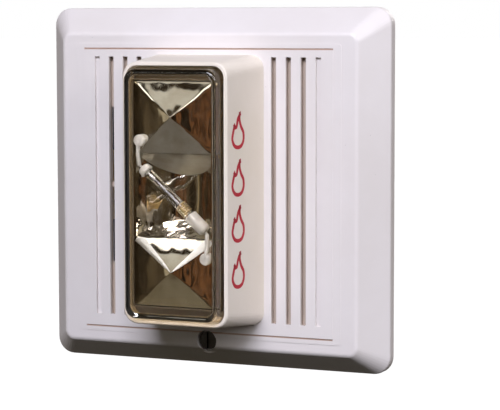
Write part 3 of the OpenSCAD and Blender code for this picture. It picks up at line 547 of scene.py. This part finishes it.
def lens_rings(inset, front, edge, back):
    """Rings of one skin of the lens, from its seat to its front face."""
    rings = []
    w0 = lens_w - 2 * inset
    h0 = lens_h - 2 * inset
    r0 = lens_corner - inset * inset_share
    for k in range(straight_rings):
        t = k / (straight_rings - 1)
        y = back + (front + edge - back) * t
        rings.append(rounded_ring(w0 - 2 * lens_taper * t, h0 - 2 * lens_taper * t, r0, y, ring_steps))
    for k in range(1, bend_rings + 1):
        a = math.radians(90 * k / bend_rings)
        bend = edge * (1 - math.cos(a))
        shrink = lens_taper + bend
        y = front + edge * (1 - math.sin(a))
        rings.append(rounded_ring(w0 - 2 * shrink, h0 - 2 * shrink, r0 - bend * bend_share, y, ring_steps))
    return rings


outer = lens_rings(0, front_y, lens_edge, seat_y)
inner = lens_rings(lens_wall, front_y + lens_wall, lens_inner_edge, seat_y)
lens_count = len(outer[0])
outer_part = loft(outer, cap_first=False)
inner_part = loft(inner, cap_first=False, flip=True)
lens_points, lens_faces = join_parts([outer_part, inner_part])
inner_start = len(outer_part[0])
for k in range(lens_count):
    n = (k + 1) % lens_count
    lens_faces.append((n, k, inner_start + k, inner_start + n))
lens_piece = mesh_object("lens_shell", lens_points, lens_faces)
lens_piece.data.materials.append(finishes["lens"])
# The side walls get a darker brown copy of the clear plastic, as painted shade for how they look seen through
# their whole height
side_painted_shade = clear_plastic("lens_side_painted_shade", (0.66, 0.57, 0.42), (0.03, 0.1), 1.5, (60, 0.3 * mm))
lens_piece.data.materials.append(side_painted_shade)
side_limit = front_y + lens_edge * 0.9
side_slope = 0.5
for face in lens_piece.data.polygons:
    if abs(face.normal.y) < side_slope and face.center.y > side_limit:
        face.material_index = 1
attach(lens_piece, FRONT)
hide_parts("lens")

# ---------- reflector ----------

flange_set_back = 4.6 * mm
flange_y = lens_low.y + flange_set_back
peak_y = reflector_low.y
peak_z = 25.7 * mm
half_w = (reflector_high.x - reflector_low.x) / 2
half_h = (reflector_high.z - reflector_low.z) / 2
trough_z = -0.4 * mm
trough_half = 13.9 * mm
trough_deep = 10.6 * mm
trough_lean_low = 0.45
trough_lean_top = 0.75
trough_r = (trough_half ** 2 + trough_deep ** 2) / (2 * trough_deep)
trough_y = flange_y + trough_deep - trough_r
facet_sag = 0.11
facet_rings = 26
facet_turns = 12
facet_edge = 1.3 * mm
corner_steps = 4
skirt = 4.8 * mm
skirt_gap = 0.25 * mm
peak_share = 0.996
peak_edge_share = 0.3
peak_narrowing = 6
foot_inset = 0.12 * mm
facet_overlap = 0.02 * mm
least_edge = 0.004 * mm
trough_columns = 64
trough_rows = 24
end_rows = 8


def side_ring(width, height, radius, centre):
    """Points round a rectangle with small round corners, with extra points along each side."""
    points = []
    for index, (sx, sz, start) in enumerate(CORNERS):
        for k in range(corner_steps + 1):
            a = math.radians(start + 90 * k / corner_steps)
            x = sx * (width / 2 - radius) + radius * math.cos(a)
            z = sz * (height / 2 - radius) + radius * math.sin(a)
            points.append(centre + Vector((x, 0, z)))
        last = points[-1]
        nx, nz, next_start = CORNERS[(index + 1) % 4]
        after = math.radians(next_start)
        goal = centre + Vector((nx * (width / 2 - radius) + radius * math.cos(after), 0,
                                nz * (height / 2 - radius) + radius * math.sin(after)))
        for k in range(1, facet_turns):
            points.append(last.lerp(goal, k / facet_turns))
    return points


def pyramid(side):
    """One four-sided peak of the reflector, each facet slightly hollow, with its skirt."""
    z_in = trough_half + trough_z * side
    z_mid = side * (z_in + half_h) / 2
    tall = half_h - z_in
    rings = []
    for y in (flange_y + skirt, flange_y + skirt_gap):
        rings.append(side_ring(2 * half_w, tall, facet_edge, Vector((0, y, z_mid))))
    for k in range(facet_rings + 1):
        t = peak_share * k / facet_rings
        rise = t - facet_sag * math.sin(math.pi * t)
        centre = Vector((0, flange_y + (peak_y - flange_y) * rise, z_mid + (side * peak_z - z_mid) * t))
        left = 1 - t
        radius = facet_edge * (peak_edge_share + (1 - peak_edge_share) * left) * min(1, left * peak_narrowing)
        inset = foot_inset if k == 0 else 0
        width = 2 * half_w * left - 2 * inset + facet_overlap
        height = tall * left - 2 * inset + facet_overlap
        rings.append(side_ring(width, height, max(radius, least_edge), centre))
    return loft(rings, cap_first=False)


def trough_depth(x):
    """Depth behind the flange of the round trough at a distance x from its middle."""
    return trough_y + math.sqrt(max(trough_r ** 2 - x * x, 0)) - flange_y


def trough_surface():
    """The upright round trough with its two leaning end faces and the flat strips beside it."""
    points, faces = [], []
    rows = []
    for k in range(trough_columns + 1):
        a = math.pi * k / trough_columns
        x = -trough_half * math.cos(a)
        deep = trough_depth(x)
        foot = trough_z - trough_half
        head = trough_z + trough_half
        low = foot + deep * trough_lean_low
        high = head - deep * trough_lean_top
        column = []
        for m in range(end_rows):
            t = m / end_rows
            column.append(Vector((x, flange_y + deep * t, foot + deep * trough_lean_low * t)))
        for m in range(trough_rows + 1):
            t = m / trough_rows
            column.append(Vector((x, flange_y + deep, low + (high - low) * t)))
        for m in range(1, end_rows + 1):
            t = 1 - m / end_rows
            column.append(Vector((x, flange_y + deep * t, head - deep * trough_lean_top * t)))
        rows.append(column)
    left = [Vector((-half_w, flange_y, p.z)) for p in rows[0]]
    right = [Vector((half_w, flange_y, p.z)) for p in rows[-1]]
    rows = [left] + rows + [right]
    count = len(rows[0])
    for row in rows:
        points += row
    for i in range(len(rows) - 1):
        for m in range(count - 1):
            a, b = i * count + m, i * count + m + 1
            faces.append((a, a + count, b + count, b))
    return points, faces


reflector_parts = [pyramid(1), pyramid(-1), trough_surface()]
leg_z = 31 * mm
leg_r = 2.2 * mm
leg_start = flange_y + mm
leg_length = reflector_high.y - leg_start
leg_ease = 0.3 * mm
leg_steps = 28
backward = Vector((0, 1, 0))
leg_profile = [(0, leg_r), (leg_ease, leg_r), (leg_length - leg_ease, leg_r), (leg_length, leg_r - leg_ease)]
for side in (-1, 1):
    leg_foot = Vector((0, leg_start, side * leg_z))
    reflector_parts.append(turned(leg_profile, leg_foot, backward, leg_steps))
reflector_piece = mesh_object("reflector_facets", *join_parts(reflector_parts))
crisp = reflector_piece.modifiers.new("ridges", "EDGE_SPLIT")
ridge_angle = 26
crisp.split_angle = math.radians(ridge_angle)
reflector_piece.data.materials.append(finishes["reflector"])
# The lower peak's two upper ridges get a bright matt coat, a painted highlight line
ridge_painted_highlight = metal("mirror_ridge_painted_highlight", (0.93, 0.91, 0.87), (0.78, 0.74, 0.66), (0.3, 0.45), pits=300,
                  height=0.02 * mm)
# The trough's upper end and the facet above it get a darker olive satin coat, brushed upright; its dark
# colour is painted shade
satin_painted_shade = metal("mirror_satin_painted_shade", (0.42, 0.39, 0.32), (0.30, 0.27, 0.21), (0.32, 0.5), brush=(9, 9, 1.2),
                   pits=500, height=0.02 * mm)
reflector_piece.data.materials.append(satin_painted_shade)
reflector_piece.data.materials.append(ridge_painted_highlight)
leaning_least = 0.5
facing_down = -0.15
for face in reflector_piece.data.polygons:
    spot = face.center
    in_trough = flange_y + facet_overlap < spot.y < flange_y + trough_deep and abs(spot.x) < trough_half
    upper_end = in_trough and abs(face.normal.z) > leaning_least and spot.z > trough_z
    above_trough = trough_half + trough_z < spot.z < peak_z and spot.y < flange_y
    if upper_end or (above_trough and face.normal.z < facing_down):
        face.material_index = 1
ring_faces = 4 * (corner_steps + facet_turns)
quarter = ring_faces // 4
right_ridge = list(range(corner_steps + 1))
left_ridge = list(range(quarter - 1, quarter + corner_steps))
lower_start = len(reflector_parts[0][1])
first_highlight_ring = 3
for ring in range(first_highlight_ring, facet_rings + 2):
    for k in right_ridge + left_ridge:
        reflector_piece.data.polygons[lower_start + ring * ring_faces + k].material_index = 2
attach(reflector_piece, FRONT)
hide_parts("reflector")

# ---------- flash tube, its band, caps and leads ----------

tube_mid = (tube_low + tube_high) / 2
tube_slope = math.radians(42)
tube_axis = Vector((math.cos(tube_slope), 0, -math.sin(tube_slope)))
tube_half = 15 * mm
tube_r = (tube_high.y - tube_low.y) / 2
glass_t = 0.5 * mm
glass_end = 0.9 * mm
glass_bend = 0.25 * mm
seal = 1.6 * mm
seal_bend = 2.2 * mm
seal_end = 3 * mm


def tube_point(distance):
    return tube_mid + tube_axis * distance


def both_ends(half_profile):
    """A tube's whole profile from the profile of its first half."""
    return half_profile + [(2 * tube_half - distance, radius) for distance, radius in reversed(half_profile)]


glass_steps = 40
bore_r = tube_r - glass_t
glass_outer = both_ends([(0, 0.25 * tube_r), (glass_bend, 0.75 * tube_r), (glass_end, tube_r)])
glass_inner = both_ends([(seal, 0.3 * bore_r), (seal_bend, 0.9 * bore_r), (seal_end, bore_r)])
outside = turned(glass_outer, tube_point(-tube_half), tube_axis, glass_steps)
hollow_points, hollow_faces = turned(glass_inner, tube_point(-tube_half), tube_axis, glass_steps)
hollow = (hollow_points, [tuple(reversed(f)) for f in hollow_faces])
glass_piece = mesh_object("tube_glass", *join_parts([outside, hollow]))
glass_piece.data.materials.append(finishes["flash_tube"])
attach(glass_piece, FRONT)
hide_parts("flash_tube")

pin_r = 0.3 * mm
pin_steps = 16
anode_r = 0.64 * mm
cathode_r = 0.8 * mm
anode_profile = [(3.4 * mm, 0.56 * mm), (3.5 * mm, anode_r), (5.6 * mm, anode_r), (5.8 * mm, 0.48 * mm)]
cathode_profile = [(3.2 * mm, 0.64 * mm), (3.3 * mm, cathode_r), (7.4 * mm, cathode_r), (7.6 * mm, 0.72 * mm)]


def pin_profile(length):
    """A wire with its tip eased over its last tenth of a millimetre."""
    return [(0, pin_r), (length, pin_r), (length + 0.1 * mm, 0.5 * pin_r)]


electrodes = [
    turned(pin_profile(4.6 * mm), tube_point(-tube_half), tube_axis, pin_steps),
    turned(anode_profile, tube_point(-tube_half), tube_axis, 20),
    turned(pin_profile(5.2 * mm), tube_point(tube_half), -tube_axis, pin_steps),
    turned(cathode_profile, tube_point(tube_half), -tube_axis, 24),
]
electrode_piece = mesh_object("tube_electrodes", *join_parts(electrodes))
electrode_piece.data.materials.append(finishes["tube_leads"])
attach(electrode_piece, FRONT)

band_low, band_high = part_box("trigger_band")
band_along = ((band_low + band_high) / 2 - tube_mid).dot(tube_axis)
band_half = 2.05 * mm
band_wire = 0.17 * mm
band_turns = 5
band_steps = 24
band_sides = 8


def band_coil():
    """Points along the trigger wire, wound on the glass."""
    side = Vector((0, 1, 0))
    over = tube_axis.cross(side)
    last = band_turns * band_steps
    coil = []
    for k in range(last + 1):
        a = 2 * math.pi * k / band_steps
        distance = band_along - band_half + 2 * band_half * k / last
        coil.append(tube_point(distance) + (tube_r + band_wire) * (side * math.cos(a) + over * math.sin(a)))
    return coil


def wire_on_tube(coil):
    """Points and faces of a round wire along the coil, its section set square to the tube's surface."""
    points, faces = [], []
    for i, p in enumerate(coil):
        after = coil[min(i + 1, len(coil) - 1)]
        before = coil[max(i - 1, 0)]
        along = (after - before).normalized()
        outward = (p - tube_point((p - tube_mid).dot(tube_axis))).normalized()
        sideways = along.cross(outward).normalized()
        for k in range(band_sides):
            a = 2 * math.pi * k / band_sides
            points.append(p + band_wire * (outward * math.cos(a) + sideways * math.sin(a)))
    for i in range(len(coil) - 1):
        here = i * band_sides
        there = here + band_sides
        for k in range(band_sides):
            n = (k + 1) % band_sides
            faces.append((here + k, here + n, there + n, there + k))
    return points, faces


band_piece = mesh_object("trigger_coil_wire", *wire_on_tube(band_coil()))
band_piece.data.materials.append(finishes["trigger_band"])
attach(band_piece, FRONT)
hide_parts("trigger_band")


cap_r = 2.35 * mm
cap_over = 0.6 * mm
cap_steps = 36


def soft_cap(name, node, side, length):
    """Silicone cap pushed over one end of the glass tube, with a lip and a domed end."""
    lip = tube_half - length
    lip_profile = [(lip, tube_r + 0.03 * mm), (lip - 0.02 * mm, cap_r - 0.35 * mm),
                   (lip + 0.15 * mm, cap_r - 0.1 * mm), (lip + 0.4 * mm, cap_r),
                   (lip + 0.8 * mm, cap_r - 0.12 * mm)]
    dome_profile = [(tube_half - 0.8 * mm, cap_r - 0.15 * mm), (tube_half, cap_r - 0.3 * mm),
                    (tube_half + 0.4 * mm, cap_r - 0.8 * mm), (tube_half + cap_over, 0.6 * mm)]
    piece = mesh_object(name, *turned(lip_profile + dome_profile, tube_mid, tube_axis * side, cap_steps))
    piece.data.materials.append(silicone_milky)
    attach(piece, FRONT)
    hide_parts(node)


soft_cap("cap_soft_upper", "tube_cap_upper", -1, 2 * mm)
soft_cap("cap_soft_lower", "tube_cap_lower", 1, 7 * mm)

sleeve_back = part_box("lead_sleeves")[1].y
bend_run = tube_half + 1.6 * mm
exit_x = 12 * mm
exit_z = 19.3 * mm
exit_y = flange_y - 1.9 * mm
bend_y = flange_y - 0.9 * mm
sleeve_r = 0.7 * mm
sleeve_bow = 0.35 * mm
sleeve_sides = 16
route_steps = 8
plug_front = exit_y - 0.6 * mm
plug_length = sleeve_back - plug_front
plug_steps = 32
grommet_r = 2 * mm
neck_r = 1.85 * mm
plug_profile = [(0, sleeve_r), (0.05 * mm, 1.35 * mm), (0.35 * mm, 1.8 * mm), (0.8 * mm, grommet_r),
                (1.5 * mm, grommet_r), (1.9 * mm, neck_r), (plug_length - 0.3 * mm, neck_r),
                (plug_length, 1.5 * mm)]


def sleeve_route(side):
    """From a tube end to its grommet, then back through the reflector."""
    across = side * bend_run * math.cos(tube_slope)
    drop = side * bend_run * math.sin(tube_slope)
    bend = Vector((across, bend_y, tube_mid.z - drop))
    leave = Vector((side * exit_x, exit_y, tube_mid.z - side * exit_z))
    route = [bend]
    for k in range(1, route_steps + 1):
        t = k / route_steps
        bow = sleeve_bow * math.sin(math.pi * t)
        route.append(bend.lerp(leave, t) + Vector((side * bow, -0.15 * bow, 0)))
    turn = leave + Vector((0, 0.35 * mm, -side * 0.25 * mm))
    through = Vector((leave.x, flange_y + 0.6 * mm, leave.z))
    return route + [turn, through, Vector((leave.x, sleeve_back, leave.z))]


sleeve_parts = []
for side in (-1, 1):
    plug_foot = Vector((side * exit_x, plug_front, tube_mid.z - side * exit_z))
    sleeve_parts.append(sweep(sleeve_route(side), sleeve_r, sleeve_sides))
    sleeve_parts.append(turned(plug_profile, plug_foot, backward, plug_steps))
sleeve_piece = mesh_object("sleeves_soft", *join_parts(sleeve_parts))
sleeve_piece.data.materials.append(finishes["lead_sleeves"])
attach(sleeve_piece, FRONT)
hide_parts("lead_sleeves")

# ---------- four flame outlines on the lens housing's right side ----------

side_foot_x = housing_high.x
side_foot_y = housing_high.y
side_rim_y = housing_low.y
side_inset = 2.65 * mm
mark_y = -32.3 * mm
mark_w = 9.4 * mm
mark_h = 12.6 * mm
mark_stroke = 1.3 * mm
mark_lift = 0.02 * mm
mark_t = 0.04 * mm
flame_steps = 8
# One flame's outline, as shares of its width and height
flame_shape = ((0.02, 0.0), (0.30, 0.06), (0.46, 0.24), (0.44, 0.46), (0.27, 0.63), (0.18, 0.80), (0.20, 1.0),
               (-0.04, 0.84), (-0.16, 0.62), (-0.24, 0.70), (-0.38, 0.50), (-0.46, 0.26), (-0.28, 0.06))


def side_point(y, z, lift):
    """A point on the housing's sloping right side, lifted off it by a little."""
    t = (side_foot_y - y) / (side_foot_y - side_rim_y)
    return Vector((side_foot_x - side_inset * t + lift, y, z))


def smooth_loop(shape):
    """A closed Catmull-Rom curve through the given points."""
    loop = []
    n = len(shape)
    for i in range(n):
        p0, p1, p2, p3 = (Vector(shape[(i + k - 1) % n]) for k in range(4))
        for k in range(flame_steps):
            t = k / flame_steps
            loop.append(0.5 * ((2 * p1) + (p2 - p0) * t + (2 * p0 - 5 * p1 + 4 * p2 - p3) * t * t
                               + (3 * p1 - p0 - 3 * p2 + p3) * t ** 3))
    return loop


def flame(z_low):
    """A flat closed ribbon in the outline of a flame."""
    loop = [Vector((p.x * mark_w, p.y * mark_h)) for p in smooth_loop(flame_shape)]
    n = len(loop)
    points, faces = [], []
    for i, p in enumerate(loop):
        along = (loop[(i + 1) % n] - loop[i - 1]).normalized()
        inward = Vector((-along.y, along.x))
        for offset, lift in ((0, mark_lift), (0, mark_lift + mark_t), (mark_stroke, mark_lift + mark_t),
                             (mark_stroke, mark_lift)):
            q = p + inward * offset
            points.append(side_point(mark_y + q.x, z_low + q.y, lift))
    for i in range(n):
        j = (i + 1) % n
        for k in range(4):
            m = (k + 1) % 4
            faces.append((i * 4 + k, i * 4 + m, j * 4 + m, j * 4 + k))
    return points, faces


mark_lows = (15.1 * mm, -0.6 * mm, -15.9 * mm, -31.3 * mm)
marks = mesh_object("flame_marks", *join_parts([flame(z) for z in mark_lows]), smooth=False)
red_ink = moulded("mark_ink", (0.52, 0.004, 0.02), (0.44, 0.003, 0.016), (0.5, 0.65), grain=1500,
                  grain_height=0.01 * mm, cloud=60)
marks.data.materials.append(red_ink)
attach(marks, FRONT)

# ---------- floor, lamps and camera ----------

floor_z = -0.46
floor_half = 60
floor = mesh_object("floor", [Vector((x, y, floor_z)) for x, y in
                              ((-floor_half, -floor_half), (floor_half, -floor_half),
                               (floor_half, floor_half), (-floor_half, floor_half))], [(0, 1, 2, 3)], False)
pale = Build("floor_pale")
floor_light = (0.92, 0.92, 0.92)
floor_dull = (0.9, 0.9, 0.9)
floor_rough = 0.9
floor_glow = 0.98
pale.link(pale.mix(pale.noise(scale=3), floor_light, floor_dull), pale.shader.inputs["Base Color"])
pale.shader.inputs["Roughness"].default_value = floor_rough
pale.shader.inputs["Emission Color"].default_value = (1, 1, 1, 1)
pale.shader.inputs["Emission Strength"].default_value = floor_glow
floor.data.materials.append(pale.done())
floor.visible_diffuse = False
floor.visible_glossy = False
floor.visible_transmission = False


def aim(obj, target):
    obj.rotation_mode = "QUATERNION"
    obj.rotation_quaternion = (target - obj.location).to_track_quat("-Z", "Y")


def area(name, place, target, size, size_y, power, colour):
    lamp = bpy.data.lights.new(name, "AREA")
    lamp.shape = "RECTANGLE"
    lamp.size = size
    lamp.size_y = size_y
    lamp.energy = power
    lamp.color = colour
    obj = bpy.data.objects.new(name, lamp)
    bpy.context.scene.collection.objects.link(obj)
    obj.location = place
    aim(obj, target)
    return obj


middle = Vector((0, -0.02, 0))


def toward(direction, distance):
    return middle + Vector(direction).normalized() * distance


area("key", toward((0.14, -0.80, 0.60), 1.3), middle, 0.85, 0.5, 19.5, (0.86, 0.87, 1.0))
area("side", toward((0.90, -0.32, 0.40), 1.2), middle, 0.5, 0.5, 5.8, (0.97, 0.95, 0.98))
area("warm", toward((-0.97, -0.2, 0.12), 1.2), middle, 0.5, 0.5, 0.4, (1.0, 0.70, 0.38))

area("back", toward((0.2, 0.85, 0.4), 1.3), middle, 0.6, 0.6, 5.0, (1.0, 0.98, 0.95))

world = bpy.data.worlds.new("studio")
bpy.context.scene.world = world
world.use_nodes = True
tree = world.node_tree
tree.nodes.clear()
sky_out = tree.nodes.new("ShaderNodeOutputWorld")
seen = tree.nodes.new("ShaderNodeBackground")
seen.inputs[0].default_value = (1, 1, 1, 1)
seen.inputs[1].default_value = 1.0
dim_colour = (1.0, 0.86, 0.6, 1)
dim_strength = 0.019
dim = tree.nodes.new("ShaderNodeBackground")
dim.inputs[0].default_value = dim_colour
dim.inputs[1].default_value = dim_strength
room = tree.nodes.new("ShaderNodeBackground")
where = tree.nodes.new("ShaderNodeTexCoord")
heading = tree.nodes.new("ShaderNodeSeparateXYZ")
tree.links.new(where.outputs["Generated"], heading.inputs[0])


def sky_ramp(value, low, high, out_low=0.0, out_high=1.0):
    m = tree.nodes.new("ShaderNodeMapRange")
    m.inputs["From Min"].default_value = low
    m.inputs["From Max"].default_value = high
    m.inputs["To Min"].default_value = out_low
    m.inputs["To Max"].default_value = out_high
    tree.links.new(value, m.inputs["Value"])
    return m.outputs[0]


def sky_math(kind, a, b):
    m = tree.nodes.new("ShaderNodeMath")
    m.operation = kind
    tree.links.new(a, m.inputs[0])
    tree.links.new(b, m.inputs[1])
    return m.outputs[0]


def sky_band(value, low, high, soft):
    """1 between low and high, and 0 outside."""
    rising = sky_ramp(value, low - soft, low + soft)
    falling = sky_ramp(value, high - soft, high + soft, 1.0, 0.0)
    return sky_math("MULTIPLY", rising, falling)


def sky_mix(factor, a, b):
    m = tree.nodes.new("ShaderNodeMix")
    m.data_type = "RGBA"
    tree.links.new(factor, m.inputs[0])
    for value, socket in ((a, m.inputs[6]), (b, m.inputs[7])):
        if isinstance(value, tuple):
            socket.default_value = (*value, 1)
        else:
            tree.links.new(value, socket)
    return m.outputs[2]


east = heading.outputs[0]
height = heading.outputs[2]
blobs = tree.nodes.new("ShaderNodeTexNoise")
blobs.inputs["Scale"].default_value = 3.2
blobs.inputs["Detail"].default_value = 3
tree.links.new(where.outputs["Generated"], blobs.inputs["Vector"])
# Furniture-like upright stripes, dark brown walls, and pale panels above and below eye level
squeeze = tree.nodes.new("ShaderNodeMapping")
squeeze.inputs["Scale"].default_value = (13.0, 5.0, 0.7)
tree.links.new(where.outputs["Generated"], squeeze.inputs["Vector"])
stripes = tree.nodes.new("ShaderNodeTexNoise")
stripes.inputs["Scale"].default_value = 1.0
stripes.inputs["Detail"].default_value = 2
tree.links.new(squeeze.outputs[0], stripes.inputs["Vector"])
wall_dark = (0.018, 0.012, 0.006)
wall_light = (0.075, 0.055, 0.032)
wood_dark = (0.010, 0.006, 0.003)
wood_light = (0.17, 0.075, 0.032)
walls = sky_mix(sky_ramp(blobs.outputs["Fac"], 0.4, 0.62), wall_dark, wall_light)
wood = sky_mix(sky_ramp(stripes.outputs["Fac"], 0.44, 0.56), wood_dark, wood_light)
wood_level = sky_band(height, -0.32, 0.13, 0.03)
wood_reach = sky_band(east, -0.33, 0.3, 0.04)
view_from = sky_mix(sky_math("MULTIPLY", wood_level, wood_reach), walls, wood)
# Each panel: its span in height and in east with the softness of its edges, then its brightness
panels = (
    ((0.27, 0.44, 0.012), (-0.66, -0.12, 0.012), (0.68, 0.66, 0.60)),
    ((-0.66, -0.40, 0.02), (-0.8, 0.1, 0.05), (0.17, 0.145, 0.10)),
    ((0.10, 0.20, 0.01), (-0.62, -0.10, 0.01), (2.4, 2.35, 2.2)),
    ((-0.4, 0.5, 0.03), (-0.86, -0.80, 0.01), (0.5, 0.44, 0.32)),
)
for height_span, east_span, brightness in panels:
    panel = sky_math("MULTIPLY", sky_band(height, *height_span), sky_band(east, *east_span))
    view_from = sky_mix(panel, view_from, brightness)
tree.links.new(view_from, room.inputs[0])
room.inputs[1].default_value = 1.0
path = tree.nodes.new("ShaderNodeLightPath")
soft_or_sharp = tree.nodes.new("ShaderNodeMixShader")
tree.links.new(path.outputs["Is Diffuse Ray"], soft_or_sharp.inputs[0])
tree.links.new(room.outputs[0], soft_or_sharp.inputs[1])
tree.links.new(dim.outputs[0], soft_or_sharp.inputs[2])
which = tree.nodes.new("ShaderNodeMixShader")
tree.links.new(path.outputs["Is Camera Ray"], which.inputs[0])
tree.links.new(soft_or_sharp.outputs[0], which.inputs[1])
tree.links.new(seen.outputs[0], which.inputs[2])
tree.links.new(which.outputs[0], sky_out.inputs[0])

view = bpy.context.scene.view_settings
view.view_transform = "Standard"
view.look = "None"

lens_length = 144.9
camera_place = Vector((0.2869, -0.6398, 0.0566))
camera_aim = Vector((-0.39539, 0.91410, -0.08995))
camera_roll = -0.10
camera = bpy.data.objects.new("camera", bpy.data.cameras.new("camera"))
bpy.context.scene.collection.objects.link(camera)
camera.data.lens = lens_length
camera.data.sensor_width = 36
camera.location = camera_place
camera.rotation_mode = "QUATERNION"
camera.rotation_quaternion = camera_aim.to_track_quat("-Z", "Y") @ Matrix.Rotation(
    math.radians(camera_roll), 4, "Z").to_quaternion()
camera.data.clip_start = 0.05
camera.data.clip_end = 200
bpy.context.scene.camera = camera
